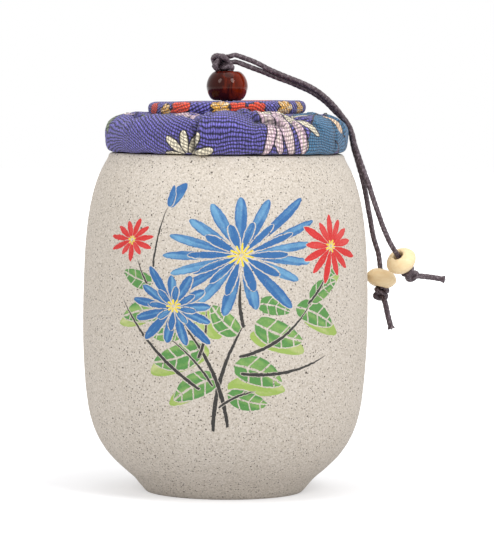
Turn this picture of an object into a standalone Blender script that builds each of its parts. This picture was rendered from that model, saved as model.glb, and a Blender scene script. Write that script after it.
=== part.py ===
"""Tea storage jar: a thrown stoneware pot with a cloth-covered stopper lid.

The lid is a cork stopper under a padded board. Printed cloth is drawn over the board in pleats, and a small
cloth-wrapped disc hides the gathered centre. A doubled cord comes up through the disc and a wooden knob bead
and is knotted above it. Its two ends hang over the lid's edge, each with a small bead held by an end knot.

Metres, +Z up. The origin is the centre of the foot, on the surface that the jar stands on.
"""

import math

import bpy
import numpy as np
from mathutils import Vector

# Clearances, and the distance under which a turned piece's seam is closed
SEAT_GAP = 0.0003
THREADING_GAP = 0.0003
MERGE_DISTANCE = 0.00001

# Pot
POT_HEIGHT = 0.095
BELLY_HEIGHT = 0.0475
BELLY_RADIUS = 0.040
FOOT_RADIUS = 0.0225
RIM_RADIUS = 0.0331
POT_WALL = 0.004
POT_FLOOR = 0.005
MOUTH_RADIUS = 0.0287
MOUTH_DEPTH = 0.005
RIM_ROUNDING = 0.0012
FOOT_EDGE = 0.0004
POT_SIDES = 60
POT_INSIDE_SKIP_STEPS = 2

# Height share of the belly height, and share of the way from the foot's radius to the belly's
LOWER_WALL_SHARES = (
    (0.045, 0.086), (0.08, 0.166), (0.15, 0.383), (0.22, 0.571), (0.29, 0.705), (0.365, 0.806),
    (0.47, 0.891), (0.615, 0.949), (0.825, 0.989),
)
# Share of the way from the belly to the rim in height, and in radius
UPPER_WALL_SHARES = (
    (0.2, 0.012), (0.43, 0.071), (0.61, 0.19), (0.75, 0.371), (0.87, 0.63),
)

# Cork stopper, whose pocket holds the knot under the board
STOPPER_CLEARANCE = 0.0003
STOPPER_LENGTH = 0.012
STOPPER_TAPER = 0.0008
STOPPER_EDGE = 0.0007
POCKET_RADIUS = 0.0052
STOPPER_SIDES = 48

# Lid: cloth over wadding over a board
CLOTH = 0.0006
LID_RADIUS = 0.0340
LID_FOOT_RADIUS = 0.0318
LID_HEIGHT = 0.0102
BULGE_SHARE = 0.46
SHOULDER_RADIUS = 0.0262
HEM_INNER_RADIUS = 0.0220
CLOTH_HOLE_RADIUS = 0.0025
CROWN_RADIUS_SHARES = (0.62, 0.24)
EDGE_FOOT_FULLNESS = 3.0
EDGE_SHOULDER_FULLNESS = 2.3
BOARD_RADIUS = 0.0306
BOARD_THICKNESS = 0.0035
BOARD_EDGE = 0.0005
CLOTH_SIDES = 44
PAD_SIDES = 36

# Pleats: their turns from the front towards +X, and how much of the depth is drawn in along the cloth,
# from the hem (first) to the gathered centre (last)
PLEAT_DEPTH = 0.0009
PLEAT_WIDTH_SHARE = 0.016
PLEAT_TURN_SHARES = (0.047, 0.11, 0.185, 0.265, 0.345, 0.42, 0.5, 0.575, 0.66, 0.745, 0.83, 0.96)
PLEAT_DEPTH_SHARES = (0, 0, 0.1, 0.25, 0.4, 0.5, 0.7, 0.9, 1.0, 1.0, 0.9, 0.7, 0.35, 0)

# Thread that gathers the cloth's centre
THREAD = 0.0005
GATHER_RADIUS = 0.0034
THREAD_TURN_STEPS = 24
THREAD_SECTION_STEPS = 6

# Top disc: card wrapped in the same cloth
DISC_RADIUS = 0.0221
DISC_HEIGHT = 0.0037
DISC_CLOTH = 0.0005
DISC_HEM_RADIUS = 0.0150
DISC_EDGE_FULLNESS = 2.0
DISC_SIDES = 36

# Cord
CORD = 0.00145
CORD_SPACING = CORD + THREADING_GAP
CORD_STEP_SHARE = 2.5
CORD_STEP = CORD * CORD_STEP_SHARE
CORD_BORE_RADIUS = CORD_SPACING / 2 + CORD / 2 + THREADING_GAP
CORD_ROUND_STEPS = 2
FOLD_STEPS = 6
ROUTE_SAMPLES = 12

# Knob bead
KNOB_RADIUS = 0.0058
KNOB_HEIGHT = 0.0079
KNOB_TOP_RADIUS = 0.00375
KNOB_BOTTOM_RADIUS = 0.00435
KNOB_EQUATOR_SHARE = 0.48
BORE_CHAMFER = 0.0003
KNOB_FULLNESS = 1.7
KNOB_SIDES = 36
BARREL_STEPS = 4

# Small beads on the strands
BEAD_RADIUS = 0.0044
BEAD_HEIGHT = 0.0050
BEAD_FLAT_RADIUS = 0.00195
BEAD_BORE_RADIUS = 0.00140
BEAD_EQUATOR_SHARE = 0.5
BEAD_FULLNESS = 1.6
BEAD_SIDES = 24
BEAD_TRAVEL = 0.0040

# Overhand knots. A drawn knot pulls the cord thinner than it is where it hangs free
LID_KNOT_CORD = 0.00128
END_KNOT_CORD = 0.00105
KNOT_PITCH_SHARE = 1.33
KNOT_LENGTH_SHARE = 0.8
KNOT_LOBE_SHARE = 2.2
KNOT_DEPTH_SHARE = 2.1
KNOT_LEAD_SHARE = 4.6
KNOT_SIDE_SHARE = 0.65
KNOT_PULL_SHARE = 2.0
KNOT_OPEN_TURN = 0.45
KNOT_LEAST_GAP_SHARE = 1.85
KNOT_HALF_SHARE = 2.36
KNOT_REACH_SHARE = 4.0
KNOT_STEPS = 34
LEAD_STEPS = 6

# The free cord. Its places are measured from the middle of the pot's mouth, level with the rim.
# Route of each strand from the knot above the knob bead, over the lid's edge, to its small bead
STRAND_A_ROUTE = (
    (0.0033, 0.00025, 0.0253), (0.0062, 0.0002, 0.0242), (0.0090, 0.0003, 0.0231),
    (0.0118, 0.0004, 0.0219), (0.0146, 0.0005, 0.0208), (0.0175, 0.0006, 0.0198),
    (0.0203, 0.0006, 0.0186), (0.0231, 0.0006, 0.0174), (0.0257, 0.0006, 0.0158),
    (0.0281, 0.0007, 0.0140), (0.0303, 0.0008, 0.0119), (0.0326, 0.0009, 0.0098),
    (0.0345, 0.0009, 0.0075), (0.0351, 0.0009, 0.0045), (0.0357, 0.0009, 0.0016),
    (0.0366, 0.0009, -0.0013), (0.0375, 0.0009, -0.0043), (0.0383, 0.0011, -0.0072),
    (0.0390, 0.0016, -0.0101), (0.0396, 0.0024, -0.0130), (0.0401, 0.0036, -0.0157),
    (0.0407, 0.0050, -0.0184), (0.0412, 0.0063, -0.0211), (0.0418, 0.0077, -0.0238),
    (0.0426, 0.0090, -0.0263),
)
STRAND_B_ROUTE = (
    (0.0034, -0.0002, 0.0271), (0.0063, -0.0002, 0.0261), (0.0091, -0.0003, 0.0250),
    (0.0118, -0.0004, 0.0237), (0.0146, -0.0005, 0.0225), (0.0174, -0.0006, 0.0214),
    (0.0203, -0.0006, 0.0203), (0.0230, -0.0006, 0.0191), (0.0257, -0.0006, 0.0175),
    (0.0280, -0.0007, 0.0156), (0.0301, -0.0008, 0.0134), (0.0320, -0.0009, 0.0110),
    (0.0338, -0.0009, 0.0086), (0.0351, -0.0009, 0.0058), (0.0358, -0.0009, 0.0029),
    (0.0368, -0.0009, 0.0000), (0.0378, -0.0009, -0.0028), (0.0389, -0.0009, -0.0057),
    (0.0400, -0.0009, -0.0085), (0.0409, -0.0010, -0.0114), (0.0419, -0.0013, -0.0143),
    (0.0429, -0.0017, -0.0171), (0.0439, -0.0021, -0.0199), (0.0451, -0.0025, -0.0227),
)
# Middle of each small bead, the way that its cord runs down through it, and the bead's own axis
BEAD_A_MIDDLE = (0.0442, 0.0090, -0.0354)
BEAD_A_CORD_WAY = (0.12, -0.12, -0.985)
BEAD_A_AXIS = (-0.11, -0.14, -0.984)
BEAD_B_MIDDLE = (0.0494, 0.0010, -0.0300)
BEAD_B_CORD_WAY = (0.467, 0.50, -0.729)
BEAD_B_AXIS = (0.44, 0.58, -0.686)
# Where each end knot lies sideways of its cord, and where its tail ends
KNOT_A_SIDE_WAY = (-0.4, 0.9, 0.0)
KNOT_B_SIDE_WAY = (-0.3, 0.9, 0.1)
TAIL_A_ROUTE = ((0.0460, 0.0074, -0.0434), (0.0467, 0.0070, -0.0464), (0.0474, 0.0065, -0.0499))
TAIL_B_ROUTE = ((0.0552, 0.0045, -0.0341), (0.0583, 0.0045, -0.0345), (0.0615, 0.0045, -0.0350))

# Derived levels of the lid's pieces
STOPPER_TOP_Z = POT_HEIGHT
LID_FOOT_Z = POT_HEIGHT + SEAT_GAP
LID_TOP_Z = LID_FOOT_Z + LID_HEIGHT
BOARD_FOOT_Z = LID_FOOT_Z + CLOTH + SEAT_GAP
BOARD_TOP_Z = BOARD_FOOT_Z + BOARD_THICKNESS
DISC_FOOT_Z = LID_TOP_Z + SEAT_GAP
DISC_TOP_Z = DISC_FOOT_Z + DISC_HEIGHT
KNOB_FOOT_Z = DISC_TOP_Z + SEAT_GAP
KNOB_TOP_Z = KNOB_FOOT_Z + KNOB_HEIGHT

DOWN = Vector((0.0, 0.0, -1.0))
LEFT = Vector((-1.0, 0.0, 0.0))


def clear_scene():
    for old in list(bpy.data.objects):
        bpy.data.objects.remove(old, do_unlink=True)


def make_material(name, colour, roughness, metallic=0.0):
    """A Principled material with the piece's plain colour."""
    material = bpy.data.materials.new(name)
    material.use_nodes = True
    shader = material.node_tree.nodes["Principled BSDF"]
    shader.inputs["Base Color"].default_value = (*colour, 1.0)
    shader.inputs["Roughness"].default_value = roughness
    shader.inputs["Metallic"].default_value = metallic
    return material


def add_object(name, data, material):
    """Links a named object that holds the data, with its own material."""
    piece = bpy.data.objects.new(name, data)
    data.materials.append(material)
    bpy.context.scene.collection.objects.link(piece)
    return piece


def carry(group_name, pieces):
    """Parents the pieces of one moving group to an empty on the jar's axis."""
    group = bpy.data.objects.new(group_name, None)
    bpy.context.scene.collection.objects.link(group)
    for piece in pieces:
        piece.parent = group
    return group


def turned(name, profile, sides, material):
    """Revolves a profile of (radius, height) points, which runs down its outer side, about the piece's Z."""
    mesh = bpy.data.meshes.new(name)
    points = [(radius, 0.0, height) for radius, height in profile]
    closed = profile[0][0] > 0 and profile[-1][0] > 0
    edges = [(i, i + 1) for i in range(len(points) - 1)]
    if closed:
        edges.append((len(points) - 1, 0))
    mesh.from_pydata(points, edges, [])
    piece = add_object(name, mesh, material)
    screw = piece.modifiers.new("turn", "SCREW")
    screw.steps = sides
    screw.render_steps = sides
    screw.use_merge_vertices = True
    screw.merge_threshold = MERGE_DISTANCE
    screw.use_smooth_shade = True
    return piece


def superellipse_arc(start, end, power, steps, outward_first):
    """Points after start up to end on a quarter superellipse. It can leave start along the radius."""
    points = []
    for step in range(1, steps + 1):
        turn = math.pi / 2 * step / steps
        across = math.sin(turn) ** (2 / power)
        along = 1 - math.cos(turn) ** (2 / power)
        if not outward_first:
            across, along = along, across
        points.append((start[0] + (end[0] - start[0]) * across, start[1] + (end[1] - start[1]) * along))
    return points


def rounded_corner(corner, before, after, radius, steps=3):
    """Points of a fillet at a right-angled corner, from the side of before to the side of after."""
    corner, before, after = Vector(corner), Vector(before), Vector(after)
    back = (before - corner).normalized() * radius
    ahead = (after - corner).normalized() * radius
    middle = corner + back + ahead
    points = []
    for step in range(steps + 1):
        turn = math.pi / 2 * step / steps
        points.append(tuple(middle - ahead * math.cos(turn) - back * math.sin(turn)))
    return points


def sheet_loop(path, thickness):
    """Closed outline of a sheet of this thickness whose middle follows the path, outer face first."""
    points = [Vector(point) for point in path]
    outer, inner = [], []
    for i, point in enumerate(points):
        way = points[min(i + 1, len(points) - 1)] - points[max(i - 1, 0)]
        normal = Vector((way.y, -way.x)).normalized() * (thickness / 2)
        outer.append(tuple(point + normal))
        inner.append(tuple(point - normal))
    return outer + inner[::-1]


def wrapped_sheet(name, path_at, thickness, sides, material):
    """A closed shell round Z, whose path of (radius, height) points may change with the turn share."""
    columns = [sheet_loop(path_at(side / sides), thickness) for side in range(sides)]
    count = len(columns[0])
    points, faces = [], []
    for side, loop in enumerate(columns):
        turn = math.tau * side / sides
        points += [(radius * math.sin(turn), -radius * math.cos(turn), height) for radius, height in loop]
        after = (side + 1) % sides
        for i in range(count):
            j = (i + 1) % count
            faces.append((side * count + i, after * count + i, after * count + j, side * count + j))
    mesh = bpy.data.meshes.new(name)
    mesh.from_pydata(points, [], faces)
    mesh.validate()
    mesh.shade_smooth()
    return add_object(name, mesh, material)


def smooth_route(route, step):
    """Evenly spaced points along a Catmull-Rom curve through the route."""
    knots = [np.array(point, float) for point in route]
    knots = [2 * knots[0] - knots[1], *knots, 2 * knots[-1] - knots[-2]]
    fine = []
    for before, start, end, after in zip(knots, knots[1:], knots[2:], knots[3:]):
        for t in np.linspace(0, 1, ROUTE_SAMPLES, endpoint=False):
            slope = (end - before) * t + (2 * before - 5 * start + 4 * end - after) * t**2
            fine.append(start + (slope + (3 * start - before - 3 * end + after) * t**3) / 2)
    fine.append(knots[-2])
    fine = np.array(fine)
    along = np.concatenate([[0], np.cumsum(np.linalg.norm(np.diff(fine, axis=0), axis=1))])
    count = max(2, round(along[-1] / step) + 1)
    places = np.linspace(0, along[-1], count)
    return [Vector([np.interp(place, along, fine[:, axis]) for axis in range(3)]) for place in places]


def bezier_points(start, start_way, end, end_way, steps):
    """Points of a curve that leaves start by start_way and reaches end by end_way, without its end point."""
    points = []
    for step in range(steps):
        t = step / steps
        points.append(
            start * (1 - t) ** 3
            + (start + start_way) * (3 * t * (1 - t) ** 2)
            + (end - end_way) * (3 * t * t * (1 - t))
            + end * t**3
        )
    return points


def tube_curve(name, points, diameter, material, widths=None):
    """One round tube with filled caps along the points, drawn thinner where its width shares are under 1."""
    curve = bpy.data.curves.new(name, "CURVE")
    curve.dimensions = "3D"
    curve.bevel_depth = diameter / 2
    curve.bevel_resolution = CORD_ROUND_STEPS
    curve.use_fill_caps = True
    spline = curve.splines.new("POLY")
    spline.points.add(len(points) - 1)
    for place, point, width in zip(spline.points, points, widths or [1.0] * len(points)):
        place.co = (*point, 1.0)
        place.radius = width
    return add_object(name, curve, material)


def folded_run(fold_z, top_z):
    """The doubled cord in its bore: down one side to the fold and up the other."""
    half = CORD_SPACING / 2
    points = [Vector((-half, 0.0, top_z))]
    for step in range(FOLD_STEPS + 1):
        turn = math.pi * step / FOLD_STEPS
        points.append(Vector((-math.cos(turn) * half, 0.0, fold_z - math.sin(turn) * half)))
    return [*points, Vector((half, 0.0, top_z))]


def least_self_gap(points, widths):
    """Least free distance between stretches of the cord that aren't neighbours along it."""
    places = np.array(points)
    radii = np.array(widths) * CORD / 2
    along = np.concatenate([[0], np.cumsum(np.linalg.norm(np.diff(places, axis=0), axis=1))])
    free = np.linalg.norm(places[:, None] - places[None], axis=-1) - radii[:, None] - radii[None]
    near = np.abs(along[:, None] - along[None]) < 2 * CORD
    return np.where(near, np.inf, free).min()


def knot_unit(cord):
    """The length that the knot's curve is scaled by, so that its turns lie one pitch apart."""
    return cord * KNOT_PITCH_SHARE / KNOT_LEAST_GAP_SHARE


def knot_lead(cord):
    return knot_unit(cord) * KNOT_LEAD_SHARE


def knot_reach(cord):
    """How far from its middle the knot's turns reach."""
    return knot_unit(cord) * KNOT_REACH_SHARE


def knot_half(cord):
    """Half of the knot's length along its cord."""
    return knot_unit(cord) * KNOT_HALF_SHARE + cord / 2


def overhand_points(cord, middle, down, side, after=()):
    """Centre line of an overhand knot: a trefoil opened at one lobe, whose two ends lead off along the cord.

    The cord comes in against down, through the point one lead above the middle. The knot lies to its side.
    With route points after it, the cord's end turns towards them instead of leading straight off.
    """
    unit = knot_unit(cord)
    down = Vector(down).normalized()
    side = Vector(side)
    side = (side - down * side.dot(down)).normalized()
    through = down.cross(side)
    offset = KNOT_SIDE_SHARE * (1 + KNOT_LOBE_SHARE)
    core = []
    for step in range(KNOT_STEPS + 1):
        turn = math.pi + KNOT_OPEN_TURN + (math.tau - 2 * KNOT_OPEN_TURN) * step / KNOT_STEPS
        length = KNOT_LENGTH_SHARE * (math.sin(turn) + KNOT_LOBE_SHARE * math.sin(2 * turn))
        width = math.cos(turn) - KNOT_LOBE_SHARE * math.cos(2 * turn) + offset
        depth = KNOT_DEPTH_SHARE * math.sin(3 * turn)
        core.append(Vector(middle) + (down * length + side * width + through * depth) * unit)
    pull = unit * KNOT_PULL_SHARE
    lead = down * knot_lead(cord)
    enter = Vector(middle) - lead
    first_way = (core[1] - core[0]).normalized() * pull
    last_way = (core[-1] - core[-2]).normalized() * pull
    points = bezier_points(enter, down * pull, core[0], first_way, LEAD_STEPS) + core[:-1]
    if not after:
        leave = Vector(middle) + lead
        return points + bezier_points(core[-1], last_way, leave, down * pull, LEAD_STEPS) + [leave]
    tail = [Vector(point) for point in after]
    tail_way = (tail[1] - tail[0]).normalized() * pull
    return points + bezier_points(core[-1], last_way, tail[0], tail_way, LEAD_STEPS) + tail


def drawn_widths(points, cord, middle):
    """Width shares of the cord: pulled thin inside the knot, and full again one cord's width outside it."""
    widths = []
    for point in points:
        outside = ((point - Vector(middle)).length - knot_reach(cord)) / CORD
        widths.append(cord / CORD + (1 - cord / CORD) * min(max(outside, 0.0), 1.0))
    return widths


def add_knot(name, cord, middle, down, side, material, after=()):
    points = overhand_points(cord, middle, down, side, after)
    widths = drawn_widths(points, cord, middle)
    print(name, "least gap to itself", round(1000 * least_self_gap(points, widths), 3), "mm")
    return tube_curve(name, points, CORD, material, widths)


def pot_outline():
    """Outer wall of the pot as (radius, height) points, foot to rim."""
    belly = BELLY_RADIUS - FOOT_RADIUS
    rise, narrowing = POT_HEIGHT - BELLY_HEIGHT, RIM_RADIUS - BELLY_RADIUS
    lower = [(FOOT_RADIUS + belly * out, BELLY_HEIGHT * up) for up, out in LOWER_WALL_SHARES]
    upper = [(BELLY_RADIUS + narrowing * out, BELLY_HEIGHT + rise * up) for up, out in UPPER_WALL_SHARES]
    return [(FOOT_RADIUS, FOOT_EDGE), *lower, (BELLY_RADIUS, BELLY_HEIGHT), *upper, (RIM_RADIUS, POT_HEIGHT)]


def inside_wall(outline):
    """The wall's inner face between the floor and the mouth, one wall's thickness inside the outline."""
    points = [Vector(point) for point in outline]
    inside = []
    for before, point, after in zip(points, points[1:], points[2:]):
        way = (after - before).normalized()
        inner = point + Vector((-way.y, way.x)) * POT_WALL
        if POT_FLOOR + POT_WALL / 2 < inner.y < POT_HEIGHT - MOUTH_DEPTH - POT_WALL / 4:
            inside.append(tuple(inner))
    return inside


def build_pot(material):
    """Thrown shell: flat foot, flared wall, rounded belly and a rim with a short straight mouth."""
    outline = pot_outline()
    inside = inside_wall(outline[::POT_INSIDE_SKIP_STEPS] + outline[-1:])
    floor = [(0.0, POT_FLOOR), (FOOT_RADIUS - POT_WALL / 2, POT_FLOOR)]
    mouth = [(MOUTH_RADIUS, POT_HEIGHT - MOUTH_DEPTH)]
    top_inner, top_outer = (MOUTH_RADIUS, POT_HEIGHT), (RIM_RADIUS, POT_HEIGHT)
    rim = rounded_corner(top_inner, (MOUTH_RADIUS, 0.0), top_outer, RIM_ROUNDING)
    rim += rounded_corner(top_outer, top_inner, (RIM_RADIUS, 0.0), RIM_ROUNDING)
    foot = [(FOOT_RADIUS - FOOT_EDGE, 0.0), (0.0, 0.0)]
    profile = floor + inside + mouth + rim + outline[-2::-1] + foot
    return turned("jar_body", profile, POT_SIDES, material)


def build_stopper(material):
    """Tapered cork plug that hangs in the mouth, with a blind pocket in its top."""
    top_radius = MOUTH_RADIUS - STOPPER_CLEARANCE
    foot_radius = top_radius - STOPPER_TAPER
    foot_z = STOPPER_TOP_Z - STOPPER_LENGTH
    pocket_z = STOPPER_TOP_Z - 2 * knot_lead(LID_KNOT_CORD) - THREADING_GAP
    profile = [
        (0.0, pocket_z),
        (POCKET_RADIUS, pocket_z),
        (POCKET_RADIUS, STOPPER_TOP_Z),
        (top_radius - STOPPER_EDGE, STOPPER_TOP_Z),
        (top_radius, STOPPER_TOP_Z - STOPPER_EDGE),
        (foot_radius, foot_z + STOPPER_EDGE),
        (foot_radius - STOPPER_EDGE, foot_z),
        (0.0, foot_z),
    ]
    return turned("stopper", profile, STOPPER_SIDES, material)


def bored_disc_profile(foot_z, top_z, radius, edge):
    """Profile of a flat disc with the cord's bore and chamfered outer edges."""
    return [
        (CORD_BORE_RADIUS, top_z),
        (radius - edge, top_z),
        (radius, top_z - edge),
        (radius, foot_z + edge),
        (radius - edge, foot_z),
        (CORD_BORE_RADIUS, foot_z),
    ]


def lid_edge(foot, bulge, shoulder, foot_steps, shoulder_steps):
    """Fullness of the padded edge: nearly square below the bulge and softly rounded above it."""
    lower = superellipse_arc(foot, bulge, EDGE_FOOT_FULLNESS, foot_steps, True)
    upper = superellipse_arc(bulge, shoulder, EDGE_SHOULDER_FULLNESS, shoulder_steps, False)
    return lower + upper


def pleat_at(turn_share):
    """How deep the cloth is drawn in at this turn, from 0 on a lobe to 1 in a pleat."""
    deepest = 0.0
    for pleat in PLEAT_TURN_SHARES:
        away = abs((turn_share - pleat + 0.5) % 1.0 - 0.5)
        deepest = max(deepest, math.exp(-((away / PLEAT_WIDTH_SHARE) ** 2)))
    return deepest


def cover_path(turn_share):
    """Middle of the cover cloth, from its hem under the board, round the edge, to the gathered centre."""
    foot_z = LID_FOOT_Z + CLOTH / 2
    top_z = LID_TOP_Z - CLOTH / 2
    bulge_z = LID_FOOT_Z + LID_HEIGHT * BULGE_SHARE
    foot = (LID_FOOT_RADIUS, foot_z)
    path = [(HEM_INNER_RADIUS, foot_z), foot]
    path += lid_edge(foot, (LID_RADIUS - CLOTH / 2, bulge_z), (SHOULDER_RADIUS, top_z), 4, 5)
    path += [(SHOULDER_RADIUS * share, top_z) for share in CROWN_RADIUS_SHARES]
    path.append((CLOTH_HOLE_RADIUS, top_z))
    drawn = PLEAT_DEPTH * pleat_at(turn_share)
    shaped = []
    for (radius, height), share in zip(path, PLEAT_DEPTH_SHARES):
        up = (height - bulge_z) / (top_z - bulge_z)
        lean = min(max(up, 0.0), 1.0)
        shaped.append((radius - drawn * share * (1 - lean), height - drawn * share * lean))
    return shaped


def build_wadding(material):
    """Pad over the board and down round its edge, clear of the deepest pleat."""
    inset = CLOTH + SEAT_GAP + PLEAT_DEPTH
    top_z = LID_TOP_Z - inset
    bulge_z = LID_FOOT_Z + LID_HEIGHT * BULGE_SHARE
    skirt_radius = BOARD_RADIUS + SEAT_GAP
    foot = (skirt_radius + CLOTH, BOARD_FOOT_Z)
    edge = lid_edge(foot, (LID_RADIUS - inset, bulge_z), (SHOULDER_RADIUS, top_z), 2, 4)
    under_z = BOARD_TOP_Z + SEAT_GAP
    outer = [(CORD_BORE_RADIUS, top_z), *edge[::-1], foot]
    under = [(skirt_radius, BOARD_FOOT_Z), (skirt_radius, under_z), (CORD_BORE_RADIUS, under_z)]
    return turned("lid_wadding", outer + under, PAD_SIDES, material)


def build_thread(material):
    """Drawn-up ring of thread round the cloth's gathered centre."""
    middle_z = LID_TOP_Z + SEAT_GAP + THREAD / 2
    profile = []
    for step in range(THREAD_SECTION_STEPS):
        turn = -math.tau * step / THREAD_SECTION_STEPS
        profile.append((GATHER_RADIUS + math.cos(turn) * THREAD / 2, middle_z + math.sin(turn) * THREAD / 2))
    return turned("gather_thread", profile, THREAD_TURN_STEPS, material)


def disc_path(_turn_share):
    """Middle of the disc's cloth, from its hem underneath, round the edge, to the cord's hole on top."""
    foot_z = DISC_FOOT_Z + DISC_CLOTH / 2
    top_z = DISC_TOP_Z - DISC_CLOTH / 2
    middle_z = (foot_z + top_z) / 2
    edge_radius = DISC_RADIUS - DISC_CLOTH / 2
    flat_radius = edge_radius - (top_z - foot_z) / 2
    path = [(DISC_HEM_RADIUS, foot_z), (flat_radius, foot_z)]
    path += superellipse_arc((flat_radius, foot_z), (edge_radius, middle_z), DISC_EDGE_FULLNESS, 3, True)
    path += superellipse_arc((edge_radius, middle_z), (flat_radius, top_z), DISC_EDGE_FULLNESS, 3, False)
    path.append((CORD_BORE_RADIUS + THREADING_GAP, top_z))
    return path


def barrel_profile(equator, top_radius, foot_radius, height, bore, fullness):
    """Profile of a bored bead that stands on zero height, with flats round the ends of its bore."""
    upper = superellipse_arc(equator, (top_radius, height), fullness, BARREL_STEPS, False)[::-1]
    lower = superellipse_arc(equator, (foot_radius, 0.0), fullness, BARREL_STEPS, False)
    bore_wall = [
        (bore + BORE_CHAMFER, 0.0),
        (bore, BORE_CHAMFER),
        (bore, height - BORE_CHAMFER),
        (bore + BORE_CHAMFER, height),
    ]
    return [*upper, equator, *lower, *bore_wall]


def build_small_bead(name, middle, axis, material):
    """Lens-shaped bead, with its origin at its middle and its own Z against the way that the cord runs."""
    equator = (BEAD_RADIUS, BEAD_HEIGHT * BEAD_EQUATOR_SHARE)
    profile = barrel_profile(
        equator, BEAD_FLAT_RADIUS, BEAD_FLAT_RADIUS, BEAD_HEIGHT, BEAD_BORE_RADIUS, BEAD_FULLNESS
    )
    centred = [(radius, height - BEAD_HEIGHT / 2) for radius, height in profile]
    bead = turned(name, centred, BEAD_SIDES, material)
    bead.rotation_mode = "QUATERNION"
    bead.rotation_quaternion = (-Vector(axis)).to_track_quat("Z", "Y")
    bead.location = from_mouth(middle)
    return bead


def from_mouth(place):
    """Place of a point of the free cord, which is given from the middle of the pot's mouth."""
    return Vector(place) + Vector((0.0, 0.0, POT_HEIGHT))


def knot_middle_below(bead_middle, cord_way):
    """Where the end knot's middle lies, so that the bead rests on the knot."""
    way = Vector(cord_way).normalized()
    return from_mouth(bead_middle) + way * (BEAD_HEIGHT / 2 + SEAT_GAP + knot_half(END_KNOT_CORD))


def build_strand(name, route, bead_middle, cord_way, material):
    """Free end of the cord, from the knob bead to its end knot, straight where the small bead slides."""
    way = Vector(cord_way).normalized()
    end = knot_middle_below(bead_middle, cord_way) - way * (knot_lead(END_KNOT_CORD) + SEAT_GAP)
    through_bead = from_mouth(bead_middle)
    above_bead = through_bead - way * (BEAD_HEIGHT / 2 + BEAD_TRAVEL)
    points = smooth_route([*map(from_mouth, route), above_bead, through_bead, end], CORD_STEP)
    return tube_curve(name, points, CORD, material)


def build_lid(materials):
    """Everything that lifts out of the mouth in one piece, less the knob bead and the cord's free part."""
    board = bored_disc_profile(BOARD_FOOT_Z, BOARD_TOP_Z, BOARD_RADIUS, BOARD_EDGE)
    core_inset = DISC_CLOTH + SEAT_GAP
    core = bored_disc_profile(
        DISC_FOOT_Z + core_inset, DISC_TOP_Z - core_inset, DISC_RADIUS - core_inset - SEAT_GAP, BOARD_EDGE
    )
    return [
        build_stopper(materials["cork"]),
        turned("lid_board", board, PAD_SIDES, materials["board"]),
        build_wadding(materials["wadding"]),
        wrapped_sheet("cover_cloth", cover_path, CLOTH, CLOTH_SIDES, materials["cover cloth"]),
        build_thread(materials["thread"]),
        turned("disc_core", core, DISC_SIDES, materials["card"]),
        wrapped_sheet("disc_cloth", disc_path, DISC_CLOTH, DISC_SIDES, materials["disc cloth"]),
        *build_held_cord(materials["cord"]),
    ]


def build_knob(material):
    equator = (KNOB_RADIUS, KNOB_HEIGHT * KNOB_EQUATOR_SHARE)
    profile = barrel_profile(
        equator, KNOB_TOP_RADIUS, KNOB_BOTTOM_RADIUS, KNOB_HEIGHT, CORD_BORE_RADIUS, KNOB_FULLNESS
    )
    knob = turned("knob_bead", profile, KNOB_SIDES, material)
    knob.location = (0.0, 0.0, KNOB_FOOT_Z)
    return knob


def top_knot_middle():
    """Middle of the knot that rests on the knob bead."""
    return Vector((0.0, 0.0, KNOB_TOP_Z + SEAT_GAP + knot_half(LID_KNOT_CORD)))


def build_held_cord(material):
    """The doubled cord inside the lid: the knot under the board and the two runs up the bores."""
    lead = knot_lead(LID_KNOT_CORD)
    anchor_middle = Vector((0.0, 0.0, STOPPER_TOP_Z - lead))
    anchor = add_knot("anchor_knot", LID_KNOT_CORD, anchor_middle, DOWN, LEFT, material)
    fold_z = STOPPER_TOP_Z + SEAT_GAP + CORD / 2 + CORD_SPACING / 2
    riser_points = folded_run(fold_z, top_knot_middle().z - lead - SEAT_GAP)
    return [anchor, tube_curve("cord_riser", riser_points, CORD, material)]


def build_free_cord(material):
    """The knot on the knob bead, and the cord's two free ends with their end knots and tails."""
    strand_start = (from_mouth(STRAND_A_ROUTE[0]) + from_mouth(STRAND_B_ROUTE[0])) / 2
    strand_next = (from_mouth(STRAND_A_ROUTE[1]) + from_mouth(STRAND_B_ROUTE[1])) / 2
    exit_way = (strand_next - strand_start).normalized()
    last = strand_start - exit_way * (CORD / 2 + SEAT_GAP)
    exit_route = (last - exit_way * LID_KNOT_CORD, last)
    pieces = [add_knot("top_knot", LID_KNOT_CORD, top_knot_middle(), -DOWN, LEFT, material, exit_route)]
    for letter, route, bead_middle, cord_way, side_way, tail in (
        ("a", STRAND_A_ROUTE, BEAD_A_MIDDLE, BEAD_A_CORD_WAY, KNOT_A_SIDE_WAY, TAIL_A_ROUTE),
        ("b", STRAND_B_ROUTE, BEAD_B_MIDDLE, BEAD_B_CORD_WAY, KNOT_B_SIDE_WAY, TAIL_B_ROUTE),
    ):
        knot_middle = knot_middle_below(bead_middle, cord_way)
        after = [from_mouth(point) for point in tail]
        pieces.append(build_strand("strand_" + letter, route, bead_middle, cord_way, material))
        pieces.append(
            add_knot("end_knot_" + letter, END_KNOT_CORD, knot_middle, cord_way, side_way, material, after)
        )
    return pieces


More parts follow.
